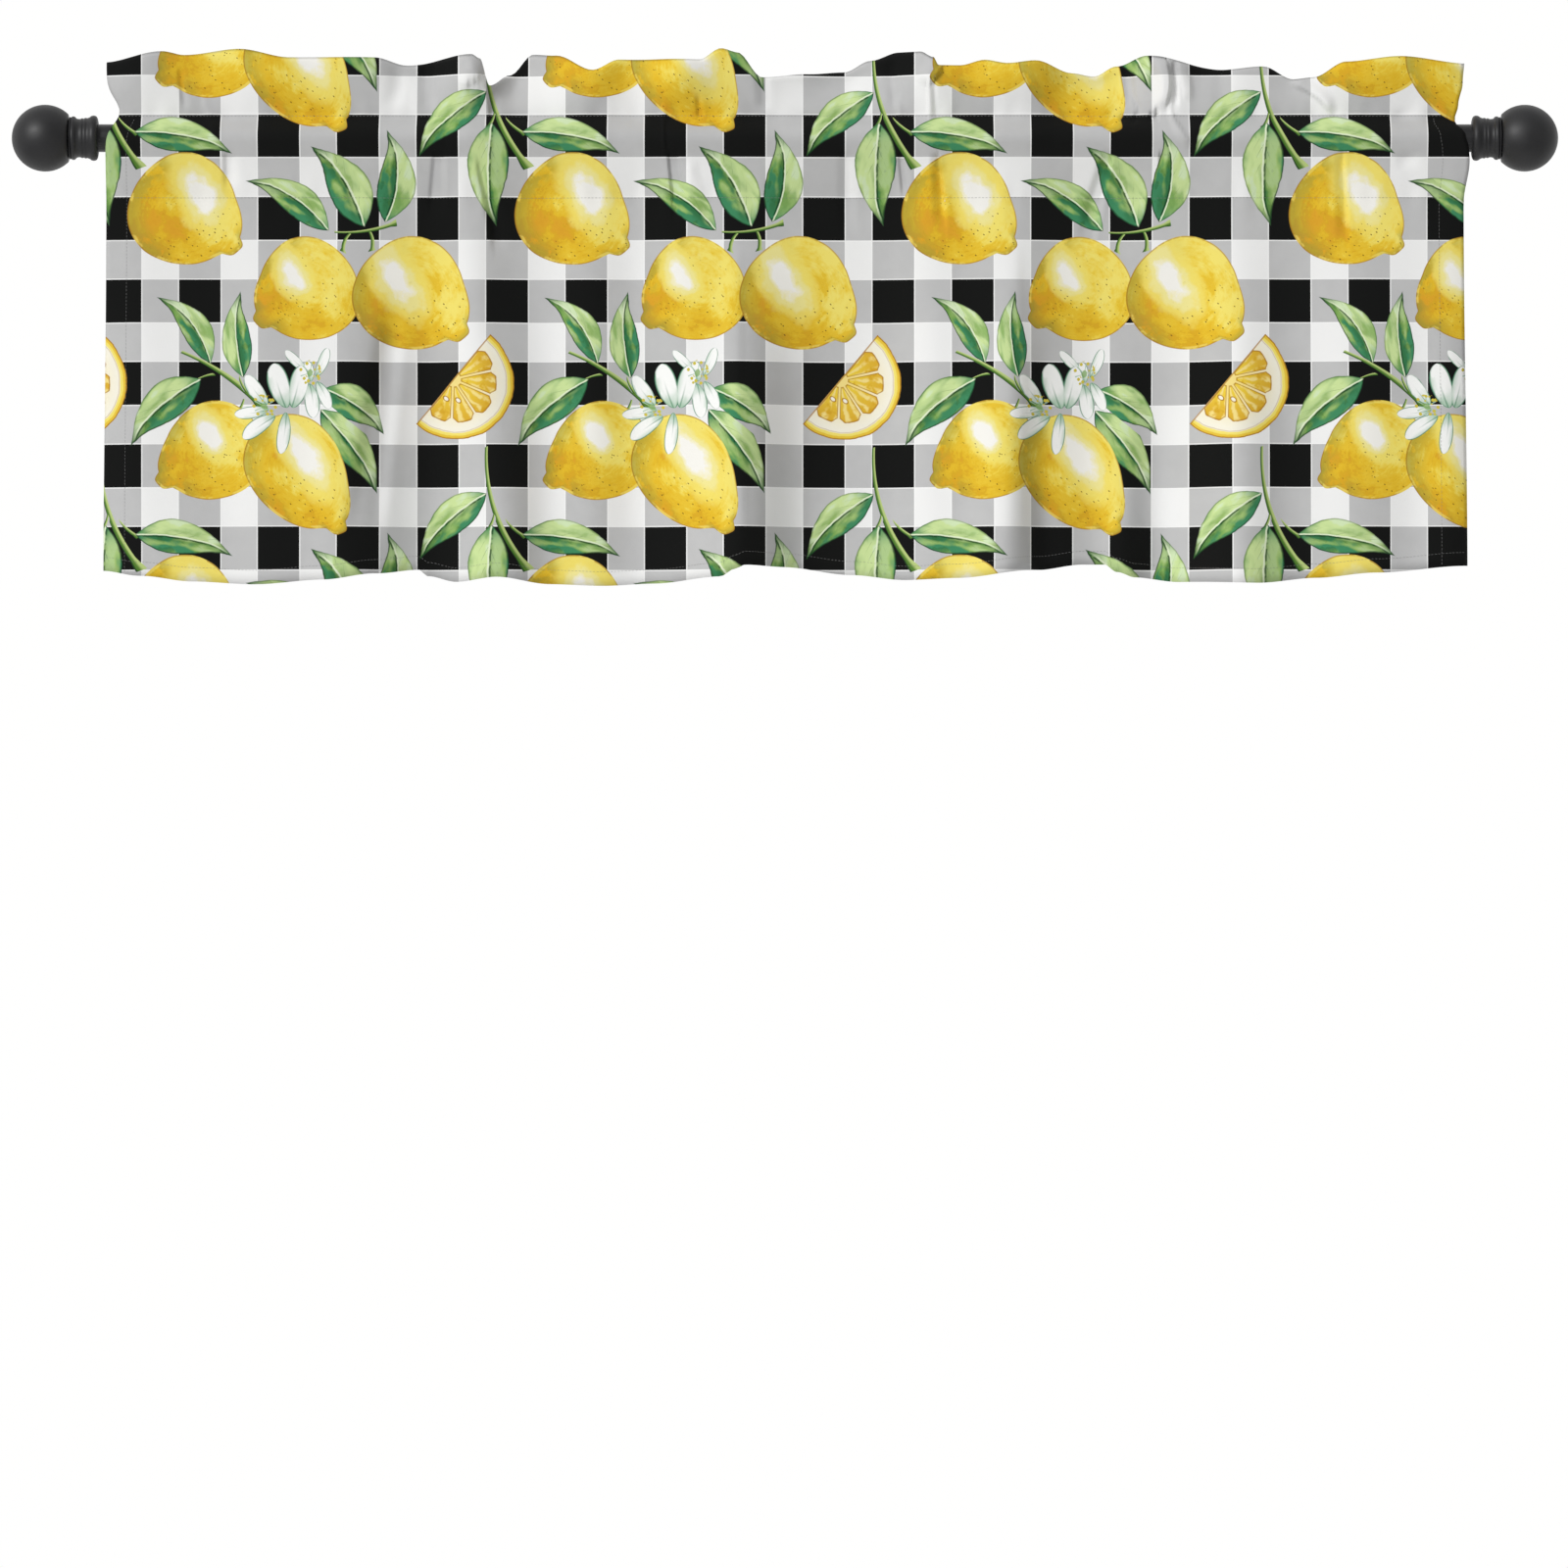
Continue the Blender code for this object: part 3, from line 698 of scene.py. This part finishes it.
def add_leaves(cloth_at, colour):
    """Leaves: a light and a dark half either side of a pale rib, washes, veins and a dark edge."""
    here, _ = nearest(cloth_at, LEAVES, [row[5] for row in LEAVES], BENT)
    p, q, bow = bowed(here)
    wash, fine = washes(here).noise(1.1, 2, 0.5), washes(here, (1, 0.35)).noise(5.0, 2)
    lean = bow.math("SIGN")
    q = q + lean * p.step(0.45, 1.1, 0, 0.30) + (fine - 0.5) * 0.12
    sunny = q * lean + (wash - 0.5) * 0.12
    off = q.math("ABSOLUTE")
    half = (1 - p * p) * (1.15 - 0.60 * p)
    inner = half - off
    flow = wash + p * 0.10 + (fine - 0.5) * 0.25
    light = flow.step(0.34, 0.46).between(FRESH_LEAF, PALE_LEAF)
    light = light.paint(MIST_LEAF, flow.step(0.54, 0.62) * 0.8)
    light = light.paint(LEAF, (flow + off * 0.10).step(0.38, 0.28) * 0.7)
    light = light.paint(LEAF, inner.step(0.22, 0.02) * flow.step(0.62, 0.42) * 0.6)
    dark = flow.step(0.52, 0.40).between(LEAF, TEAL_LEAF)
    dark = dark.paint(FRESH_LEAF, flow.step(0.50, 0.60) * 0.55)
    dark = dark.paint(DARK_LEAF, (off * 0.55 + flow * 0.6).step(0.62, 0.36) * 0.55)
    dark = dark.paint(DARK_LEAF, fine.step(0.56, 0.66) * 0.40)
    leaf = sunny.step(-0.02, 0.03, 0.0, 0.74) + wash.step(0.44, 0.60) * 0.36
    leaf = leaf.add("Mix", {"data_type": "RGBA"}, {0: leaf, 6: dark, 7: light}, 2)
    leaf = leaf.paint(DARK_LEAF, p.step(0.50, 0.95) * 0.80)
    leaf = leaf.paint(TEAL_LEAF, p.step(-0.55, -0.98) * 0.75)
    vein = (p * 3.4 - off * 2.4).math("PINGPONG", 0.5) < 0.035
    leaf = leaf.paint(DARK_LEAF, vein * off.step(0.8, 0.1) * fine.step(0.42, 0.56) * 0.5)
    shadow = (sunny + 0.11).math("ABSOLUTE").step(0.075, 0.030)
    leaf = leaf.paint(LEAF_LINE, shadow * fine.step(0.36, 0.50) * 0.75)
    leaf = leaf.paint(RIB, sunny.math("ABSOLUTE").step(0.062, 0.036) * p.step(0.92, 0.55) * 0.95)
    line = inner.step(0.15, 0.05) * sunny.step(0.1, -0.1, 0.55, 0.95)
    leaf = leaf.paint(LEAF_LINE, line * 0.9)
    return colour.paint(leaf, inner.step(0.0, 0.05) * (p.math("ABSOLUTE") < 1))


def add_lemons(cloth_at, colour, rows, right_turn, left_turn):
    """Lemons: a round body with a nub at its tip, washes that darken downwards, a highlight, pores
    and a thin broken outline. The highlight lies on the right of a lemon with the first turn and
    on the left of one with the second, and in between it shifts evenly."""
    here, _ = nearest(cloth_at, rows, [math.radians(row[4]) for row in rows])
    p, q, carried = here.parts()
    turn = carried * CARRIED
    wash, bloom = washes(here).noise(2.1, 4, 0.62), washes(here).noise(1.0, 2)

    # The outline, with a shoulder on its full side beside the nub
    lean = turn.math("COSINE").math("SIGN")
    full = q * lean
    q = q * (1 + 0.14 * p)
    round_ = (p * p + q * q).math("SQRT")
    facing = (p + 0.05 * full) / round_
    shoulder = ((0.94 * p + 0.34 * full) / round_ - 0.76).math("MAXIMUM", 0) * 4.2
    nub = facing.step(0.972, 0.998) * 0.125
    rim = 0.955 + shoulder * shoulder * 0.12 + nub + (bloom - 0.5) * 0.06
    inner = rim - round_

    # The washes, with strokes that go round the body
    side, height, _ = here.turned_by(turn).parts()
    swirl = {0: q.math("ARCTAN2", p) * 1.1, 1: round_ * 7.5, 2: carried * 900}
    stroke = here.add("CombineXYZ", {}, swirl).noise(2.4, 3, 0.6)
    fleck = washes(here).noise(9.0, 3, 0.65)
    tone = height * 0.40 + side * 0.24 + (wash - 0.5) * 1.7
    tone = tone + (bloom - 0.5) * 1.3 + (stroke - 0.5) * 0.8 + (fleck - 0.5) * 0.35 - 0.03
    lemon = tone.step(-0.02, 0.46).between(LEMON, PALE_LEMON)
    lemon = lemon.paint(DEEP_LEMON, tone.step(0.08, -0.04) * 0.60)
    lemon = lemon.paint(DEEP_LEMON, tone.step(-0.16, -0.24) * 0.75)
    lemon = lemon.paint(RICH_LEMON, tone.step(-0.32, -0.42) * 0.50)
    lemon = lemon.paint(RICH_LEMON, tone.step(-0.52, -0.74) * 0.55)
    lemon = lemon.paint(ORANGE, (tone + bloom - 0.5).step(-0.42, -0.80) * 0.55)
    lemon = lemon.paint(RICH_LEMON, stroke.step(0.58, 0.64) * tone.step(0.3, -0.2) * 0.35)
    lemon = lemon.paint(LIGHT_LEMON, stroke.step(0.40, 0.34) * tone.step(0.0, 0.4) * 0.40)
    lemon = lemon.paint(RICH_LEMON, fleck.step(0.60, 0.68) * tone.step(0.1, -0.3) * 0.55)
    edge = inner.step(0.42, 0.02) * (side + bloom * 1.4 - 0.7).step(0.0, -0.6)
    lemon = lemon.paint(OLIVE, edge * wash.step(0.40, 0.50) * 0.62)
    lemon = lemon.paint(OLIVE, inner.step(0.14, 0.02) * facing.step(0.90, 0.98) * 0.55)

    # The highlight, tilted and broken by the washes
    aside = turn.step(math.radians(right_turn), math.radians(left_turn), 0.28, -0.26)
    u, v = side - aside, height - 0.30
    across, up = u * 0.86 + v * 0.50, v * 0.86 - u * 0.50
    small = 1.28 - 0.16 * lean
    patch = (across * across * 20 + up * up * 6.4).math("SQRT") * small + (wash - 0.5) * 2.2
    lemon = lemon.paint(PALE_LEMON, patch.step(2.6, 1.9) * 0.80)
    lemon = lemon.paint(LIGHT_LEMON, patch.step(1.85, 1.35) * 0.85)
    lemon = lemon.paint(GLINT, patch.step(1.25, 0.98) * 0.45)
    lemon = lemon.paint(GLINT, patch.step(1.00, 0.72) * 0.92)

    # The pores, and the outline's line
    dots = {"Vector": washes(here.turned_by(turn - 0.9), (15.0, 8.5)), "Scale": 1.0}
    spot = here.add("TexVoronoi", {"voronoi_dimensions": "3D"}, dots)
    many = (bloom - height * 0.10).step(0.36, 0.56) * patch.step(1.1, 1.7) * inner.step(0.03, 0.09)
    lemon = lemon.paint(PORE, spot.step(0.175, 0.115) * many * 0.90)
    lemon = lemon.paint(PALE_LEMON, inner.step(0.070, 0.045) * wash.step(0.52, 0.44) * 0.6)
    lemon = lemon.paint(SLICE_LINE, inner.step(0.036, 0.014) * wash.step(0.38, 0.50) * 0.70)
    return colour.paint(lemon, inner.step(0.0, 0.012))


def add_slice(cloth_at, colour):
    """The half slice: pieces of flesh between pale walls, pith, peel, a cut edge and two seeds."""
    here = placed(cloth_at, *SLICE)
    p, q, _ = here.parts()
    reach = here.vector("LENGTH", output="Value")
    turn = q.math("ARCTAN2", p)
    wash = washes(here).noise(3.4, 3, 0.6)
    reach = reach + (wash - 0.5) * 0.05
    wall = ((turn / WALL_TURN + 0.5).math("FRACT") - 0.5).math("ABSOLUTE")
    from_wall = (0.5 - wall) * reach
    ends = (reach - 0.10).math("MINIMUM", 0.75 - reach + from_wall.step(0.0, 0.2, -0.08, 0.0))
    inside = from_wall.math("MINIMUM", ends)
    streak = (turn * 22 + wash * 9).math("SINE").step(-0.4, 0.8) * wash.step(0.40, 0.54)
    flesh = reach.step(0.1, 0.8).between(LEMON, FLESH)
    flesh = flesh.paint(PALE_FLESH, streak)
    flesh = flesh.paint(RICH_LEMON, wash.step(0.44, 0.36) * 0.6)
    flesh = flesh.paint(SLICE_LINE, inside.step(0.058, 0.038) * 0.75)
    piece = reach.step(0.2, 0.9).between(PALE_FLESH, PITH)
    piece = piece.paint(flesh, inside.step(0.020, 0.032))
    piece = piece.paint(SLICE_LINE, (reach - 0.878).math("ABSOLUTE").step(0.012, 0.006) * 0.35)
    piece = piece.paint(PALE_LEMON, reach.step(0.885, 0.900))
    piece = piece.paint(DEEP_LEMON, reach.step(0.93, 0.95) * 0.8)
    piece = piece.paint(SLICE_LINE, reach.step(0.975, 0.985) * 0.85)
    piece = piece.paint(SLICE_LINE, p.step(0.030, 0.012) * 0.8)
    for seed_p, seed_q in SEEDS:
        long, wide = p - seed_p, q - seed_q
        seed = (long * long + wide * wide * 2.2).math("SQRT")
        piece = piece.paint(SLICE_LINE, seed.step(0.068, 0.056) * 0.85)
        piece = piece.paint(PITH, seed.step(0.046, 0.034))
    return colour.paint(piece, (p > 0.0) * (reach < 1.0))


def add_petals(cloth_at, colour, rows):
    """Petals: white, shaded green at the root and on one side, with a thin green outline."""
    here, _ = nearest(cloth_at, rows, [row[5] for row in rows], BENT)
    p, q, _ = bowed(here)
    bloom = washes(here).noise(1.3, 2)
    half = (1 - p * p).math("MAXIMUM", 0).math("SQRT") * (0.90 + 0.12 * p)
    inner = half - q.math("ABSOLUTE")
    petal = (p + bloom - 0.5).step(-0.1, -1.1).between(PETAL, PETAL_SHADE)
    petal = petal.paint(PETAL_SHADE, q.step(0.2, 0.8) * bloom.step(0.42, 0.54) * 0.55)
    crease = (q - 0.1).math("ABSOLUTE").step(0.10, 0.03) * p.step(0.4, -0.8)
    petal = petal.paint(PETAL_LINE, crease * 0.6)
    petal = petal.paint(PETAL_LINE, inner.step(0.20, 0.06) * bloom.step(0.36, 0.50, 0.45, 0.95))
    return colour.paint(petal, inner.step(0.0, 0.06) * (p.math("ABSOLUTE") < 1))


def add_stamens(cloth_at, colour):
    """Stamens: threads from a green middle, with dust at their ends."""
    here, reach = nearest(cloth_at, STAMENS, (0.0, 0.0))
    p, q, _ = here.parts()
    thread = (q.math("ARCTAN2", p) * 3.1).math("SINE").math("ABSOLUTE") < 0.22
    colour = colour.paint(PETAL_SHADE, thread * (reach < 0.8) * 0.85)
    dots = {"Vector": washes(here, (2.9, 2.9)), "Scale": 1.0}
    dust = here.add("TexVoronoi", {"voronoi_dimensions": "3D"}, dots) < 0.38
    colour = colour.paint(STAMEN, dust * reach.step(1.0, 0.92) * reach.step(0.30, 0.40))
    return colour.paint(LEAF, (reach + q.math("ABSOLUTE") * 0.4).step(0.36, 0.26) * 0.8)


# The weave, in turns of its wave a metre, and how much of the print the pale back hides
WEAVE = 7400
BACK_COLOUR = (0.76, 0.76, 0.74, 1)
BACK_HIDES = 0.68


def cloth_material(name, reverse):
    """The printed face, or the pale back that the print only shows through."""
    material = bpy.data.materials.new(name)
    material.use_nodes = True
    tree = material.node_tree
    shader = tree.nodes["Principled BSDF"]
    cloth_at = Wire(tree).add("UVMap", {"uv_map": "print"}, {})
    colour = check_colour(cloth_at)
    colour = add_twigs(cloth_at, colour)
    colour = add_leaves(cloth_at, colour)
    colour = add_lemons(cloth_at, colour, LEMONS_BEHIND, 209, 216)
    colour = add_lemons(cloth_at, colour, LEMONS_BEFORE, -63, -41)
    colour = add_slice(cloth_at, colour)
    colour = add_petals(cloth_at, colour, PETALS_BEHIND)
    colour = add_petals(cloth_at, colour, PETALS_BEFORE)
    colour = add_stamens(cloth_at, colour)
    if reverse:
        colour = colour.paint(BACK_COLOUR, BACK_HIDES)
    tree.links.new(colour.socket, shader.inputs["Base Color"])
    x, z, _ = cloth_at.parts()
    weave = (x * WEAVE).math("SINE") * (z * WEAVE).math("SINE")
    slub = cloth_at.vector("MULTIPLY", (1, 9, 0)).noise(110, 2)
    relief = {"Height": weave * 0.5 + slub, "Strength": 0.25, "Distance": 0.00025}
    tree.links.new(cloth_at.add("Bump", {}, relief).socket, shader.inputs["Normal"])
    shader.inputs["Roughness"].default_value = 0.85
    shader.inputs["Specular IOR Level"].default_value = 0.12
    shader.inputs["Sheen Weight"].default_value = 0.02
    return material


cloth.data.materials.append(cloth_material("printed face", False))
cloth.data.materials.append(cloth_material("cloth reverse", True))
thickness = cloth.modifiers.new("thickness", "SOLIDIFY")
thickness.thickness = CLOTH
thickness.offset = -1
thickness.material_offset = 1
bpy.ops.object.modifier_apply(modifier="thickness")
bpy.ops.object.shade_smooth()
bpy.ops.object.select_all(action="DESELECT")
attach(cloth, "root")
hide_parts("valance")

# --- The stitching ---
# Polyester thread: two lines across that make the rod pocket, one along the bottom hem, and one
# up each side hem. Each stitch dips into the cloth at its ends.

STITCH_PITCH = 0.0031
STITCH_LENGTH = 0.0023
STITCH_SIDES = 4
THREAD = 0.0003
THREAD_DARK = (0.17, 0.17, 0.168, 1)
THREAD_LIGHT = (0.25, 0.25, 0.245, 1)
SEAM_DROP = 0.0008
SIDE_HEM = 0.024
BOTTOM_HEM = 0.012

# Each ring of a stitch: place along it, thickness, and height over the cloth, in threads
STITCH_RINGS = [
    # along, thickness, height
    (-0.50, 0.5, -0.30),
    (-0.22, 1.0, 0.22),
    (0.22, 1.0, 0.22),
    (0.50, 0.5, -0.30),
]
stitch_points, stitch_faces = [], []


def sew(line, facing):
    """Stitches along a line of points, on the side that it faces."""
    line = np.array(line)
    run = np.concatenate([[0], np.cumsum(np.linalg.norm(np.diff(line, axis=0), axis=1))])
    for middle in np.arange(STITCH_PITCH, run[-1] - STITCH_PITCH, STITCH_PITCH):
        ends = [
            [np.interp(middle + way, run, line[:, axis]) for axis in range(3)]
            for way in (-0.001, 0.001)
        ]
        ahead = np.subtract(ends[1], ends[0])
        ahead /= np.linalg.norm(ahead)
        out = np.array(facing) - ahead * np.dot(facing, ahead)
        out /= np.linalg.norm(out)
        side = np.cross(out, ahead)
        first = len(stitch_points)
        for way, thick, height in STITCH_RINGS:
            centre = np.mean(ends, axis=0) + ahead * way * STITCH_LENGTH + out * height * THREAD
            for n in range(STITCH_SIDES):
                turn = 2 * math.pi * (n + 0.5) / STITCH_SIDES
                spoke = out * math.cos(turn) + side * math.sin(turn)
                stitch_points.append(centre + spoke * thick * THREAD / 2)
        last = first + (len(STITCH_RINGS) - 1) * STITCH_SIDES
        for ring in range(first, last, STITCH_SIDES):
            for n in range(STITCH_SIDES):
                a, b = ring + n, ring + (n + 1) % STITCH_SIDES
                stitch_faces.append((a, a + STITCH_SIDES, b + STITCH_SIDES, b))
        stitch_faces.append(tuple(first + n for n in range(STITCH_SIDES)))
        stitch_faces.append(tuple(last + n for n in reversed(range(STITCH_SIDES))))


row_ends = np.cumsum([steps for _, steps in STRETCHES])
lower_row, upper_row, _, upper_back, lower_back, _ = row_ends
FRONT, BACK = (0, -1, 0), (0, 1, 0)
THROUGH = [0, CLOTH, 0]
sew(hung[lower_row] - [0, 0, SEAM_DROP], FRONT)
sew(hung[upper_row], FRONT)
sew(hung[upper_back] + THROUGH, BACK)
sew(hung[lower_back] + THROUGH, BACK)

hem_z, hem_depth, _ = cloth_row("skirt", BOTTOM_HEM / SKIRT, along)
hem_line = np.stack([drawn_in(along, hem_z), -hem_depth, hem_z], 1)
sew(hem_line, FRONT)
sew(hem_line + THROUGH, BACK)

flat_run = np.cumsum(np.hypot(np.diff(hung[0, :, 0]), np.diff(hung[0, :, 1])))
left_hem = int(np.searchsorted(flat_run, SIDE_HEM))
right_hem = int(np.searchsorted(flat_run, flat_run[-1] - SIDE_HEM))
for hem_column in (left_hem, right_hem):
    sew(hung[: upper_row + 1, hem_column], FRONT)
    sew(hung[: lower_row - 1, hem_column] + THROUGH, BACK)

stitch_mesh = bpy.data.meshes.new("stitches")
stitch_mesh.from_pydata([tuple(point) for point in stitch_points], [], stitch_faces)
stitch_mesh.update()
stitches = bpy.data.objects.new("stitches", stitch_mesh)
bpy.context.collection.objects.link(stitches)
stitches.select_set(True)
bpy.context.view_layer.objects.active = stitches
bpy.ops.object.mode_set(mode="EDIT")
bpy.ops.mesh.select_all(action="SELECT")
bpy.ops.mesh.normals_make_consistent(inside=False)
bpy.ops.object.mode_set(mode="OBJECT")
bpy.ops.object.shade_smooth()
bpy.ops.object.select_all(action="DESELECT")

thread = bpy.data.materials.new("polyester thread")
thread.use_nodes = True
thread_shader = thread.node_tree.nodes["Principled BSDF"]
thread_at = Wire(thread.node_tree).add("TexCoord", {}, {}, 3)
twist = thread_at.vector("DOT_PRODUCT", (5200, 900, 5200), output="Value").math("SINE")
thread_colour = thread_at.noise(400, 2).step(0.3, 0.7).between(THREAD_DARK, THREAD_LIGHT)
thread.node_tree.links.new(thread_colour.socket, thread_shader.inputs["Base Color"])
thread_bump = thread_at.add("Bump", {}, {"Height": twist, "Strength": 0.5, "Distance": 0.00006})
thread.node_tree.links.new(thread_bump.socket, thread_shader.inputs["Normal"])
thread_shader.inputs["Roughness"].default_value = 0.6
stitches.data.materials.append(thread)
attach(stitches, "root")

# --- The rod ---
# A plain steel tube with a satin black coat, which lies in wall brackets behind the cloth.

ROD_BLACK = (0.009, 0.009, 0.010)
ROD_ROUGHNESS = 0.38


def coated_steel(name, colour, roughness):
    """Satin powder coat: a fine orange-peel grain, and slightly patchy colour and gloss."""
    material = bpy.data.materials.new(name)
    material.use_nodes = True
    tree = material.node_tree
    shader = tree.nodes["Principled BSDF"]
    here = Wire(tree).add("TexCoord", {}, {}, 3)
    patch = here.noise(55, 3)
    tint = patch.step(0.3, 0.7).between((*colour, 1), (*(1.35 * part for part in colour), 1))
    gloss = patch.step(0.3, 0.7, roughness - 0.04, roughness + 0.05)
    grain = {"Height": here.noise(1500, 2), "Strength": 0.35, "Distance": 0.0001}
    tree.links.new(tint.socket, shader.inputs["Base Color"])
    tree.links.new(gloss.socket, shader.inputs["Roughness"])
    tree.links.new(here.add("Bump", {}, grain).socket, shader.inputs["Normal"])
    shader.inputs["Specular IOR Level"].default_value = 0.45
    return material


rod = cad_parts["rod"]
rod.data.materials.clear()
rod.data.materials.append(coated_steel("rod coat", ROD_BLACK, ROD_ROUGHNESS))

# --- The finials ---
# Each is turned from steel in two parts: a collar with two beads, which sleeves the rod's end, and
# a ball with a stud that screws into it. They have the rod's satin black coat.

COLLAR_START = 0.593
COLLAR_LENGTH = 0.0253
SOCKET_DEPTH = 0.0163
SOCKET_RADIUS = 0.0123
BALL_GAP = 0.0003
BALL_RADIUS = 0.0288
BALL_CENTRE = 0.6386
BALL_RINGS = 28
POLE_RADIUS = 0.00025
STUD_RADIUS = 0.005
STUD_LENGTH = 0.006
LATHE_SIDES = 72
FINIAL_BLACK = (0.010, 0.010, 0.011)
FINIAL_ROUGHNESS = 0.52

# The collar's outside, from the rod to the ball
COLLAR_SHAPE = [
    # share of its length, radius
    (0.000, 0.0160),
    (0.015, 0.0174),
    (0.045, 0.0187),
    (0.100, 0.0194),
    (0.170, 0.0195),
    (0.230, 0.0190),
    (0.270, 0.0181),
    (0.340, 0.0174),
    (0.370, 0.0172),
    (0.395, 0.0175),
    (0.440, 0.0175),
    (0.465, 0.0169),
    (0.490, 0.0168),
    (0.515, 0.0172),
    (0.560, 0.0171),
    (0.590, 0.0166),
    (0.640, 0.0165),
    (0.700, 0.0167),
    (0.735, 0.0171),
    (0.760, 0.0180),
    (0.800, 0.0187),
    (0.850, 0.0188),
    (0.890, 0.0185),
    (0.915, 0.0176),
    (0.930, 0.0182),
    (0.960, 0.0182),
    (0.985, 0.0172),
    (1.000, 0.0155),
]


def turned(name, rings):
    """A piece turned on a lathe about X, from rings of place along X and radius."""
    (place, radius), *others = rings
    bpy.ops.mesh.primitive_circle_add(
        vertices=LATHE_SIDES,
        radius=radius,
        fill_type="NGON",
        location=(place, 0, 0),
        rotation=(0, math.pi / 2, 0),
    )
    piece = bpy.context.object
    piece.name = name
    bpy.ops.object.transform_apply(location=True, rotation=True, scale=True)
    bpy.ops.object.mode_set(mode="EDIT")
    for next_place, next_radius in others:
        move = {"value": (next_place - place, 0, 0)}
        bpy.ops.mesh.extrude_region_move(TRANSFORM_OT_translate=move)
        grow = next_radius / radius
        bpy.ops.transform.resize(value=(1, grow, grow), center_override=(next_place, 0, 0))
        place, radius = next_place, next_radius
    bpy.ops.mesh.select_all(action="SELECT")
    bpy.ops.mesh.normals_make_consistent(inside=False)
    bpy.ops.object.mode_set(mode="OBJECT")
    bpy.ops.object.shade_smooth_by_angle(angle=math.radians(50))
    return piece


# The ball is cut flat where it meets the collar, and its stud stands on that flat
finial_coat = coated_steel("finial coat", FINIAL_BLACK, FINIAL_ROUGHNESS)
flat_place = COLLAR_START + COLLAR_LENGTH + BALL_GAP
flat_angle = math.acos((BALL_CENTRE - flat_place) / BALL_RADIUS)
angles = [flat_angle + (math.pi - flat_angle) * n / BALL_RINGS for n in range(BALL_RINGS)]
for name, side in (("left", -1), ("right", 1)):
    socket = [(COLLAR_START + SOCKET_DEPTH, SOCKET_RADIUS), (COLLAR_START, SOCKET_RADIUS)]
    outside = [(COLLAR_START + share * COLLAR_LENGTH, radius) for share, radius in COLLAR_SHAPE]
    collar = turned("finial_collar_" + name, [(side * x, r) for x, r in socket + outside])
    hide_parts("collar_" + name)

    stud = [(flat_place - STUD_LENGTH, STUD_RADIUS), (flat_place, STUD_RADIUS)]
    round_part = [
        (BALL_CENTRE - BALL_RADIUS * math.cos(angle), BALL_RADIUS * math.sin(angle))
        for angle in angles
    ]
    pole = [(BALL_CENTRE + BALL_RADIUS * 0.99996, POLE_RADIUS)]
    ball = turned("finial_ball_" + name, [(side * x, r) for x, r in stud + round_part + pole])
    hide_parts("ball_" + name)
    for piece in (collar, ball):
        piece.data.materials.append(finial_coat)
        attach(piece, "root")
    bpy.ops.object.select_all(action="DESELECT")

# --- The studio ---
# A pale floor well below the hem, a near-white surround, and soft light from above the front.

FLOOR_SIZE = 3
FLOOR_Z = -1.60
bpy.ops.mesh.primitive_plane_add(size=FLOOR_SIZE, location=(0, 0, FLOOR_Z))
floor = bpy.context.object
floor.name = "floor"
floor_paint = bpy.data.materials.new("floor paint")
floor_paint.use_nodes = True
floor_shader = floor_paint.node_tree.nodes["Principled BSDF"]
floor_shader.inputs["Base Color"].default_value = (0.9, 0.9, 0.9, 1)
floor_shader.inputs["Roughness"].default_value = 0.9
floor.data.materials.append(floor_paint)

world = bpy.data.worlds.new("surround")
world.use_nodes = True
backdrop = world.node_tree.nodes["Background"]
direction = Wire(world.node_tree).add("TexCoord", {}, {}, 0)
_, away, _ = direction.parts()
glow = away.step(-0.6, 0.8, 0.40, 1.0)
world.node_tree.links.new(glow.socket, backdrop.inputs["Strength"])
backdrop.inputs["Color"].default_value = (1, 1, 0.995, 1)
bpy.context.scene.world = world

# A broad key light from the upper left, far enough away to fall evenly along the cloth
KEY_FROM = (-2.3, -3.0, 1.65)
KEY_ENERGY = 2.36
KEY_SIZE = math.radians(20)
tilt = math.atan2(math.hypot(KEY_FROM[0], KEY_FROM[1]), KEY_FROM[2])
swing = math.atan2(KEY_FROM[0], -KEY_FROM[1])
bpy.ops.object.light_add(type="SUN", location=KEY_FROM, rotation=(tilt, 0, swing))
key = bpy.context.object
key.name = "key"
key.data.energy = KEY_ENERGY
key.data.angle = KEY_SIZE

# A camera straight in front and far away, so that the view has next to no perspective
VIEW_WIDTH = 1.3536
DISTANCE = 8.0
SENSOR = 36
bpy.ops.object.camera_add(location=(-0.0008, -DISTANCE, -0.5575), rotation=(math.pi / 2, 0, 0))
camera = bpy.context.object
camera.data.sensor_width = SENSOR
camera.data.lens = SENSOR * DISTANCE / VIEW_WIDTH
camera.data.clip_end = 60
bpy.context.scene.camera = camera
bpy.context.scene.view_settings.view_transform = "Standard"

bpy.context.view_layer.update()
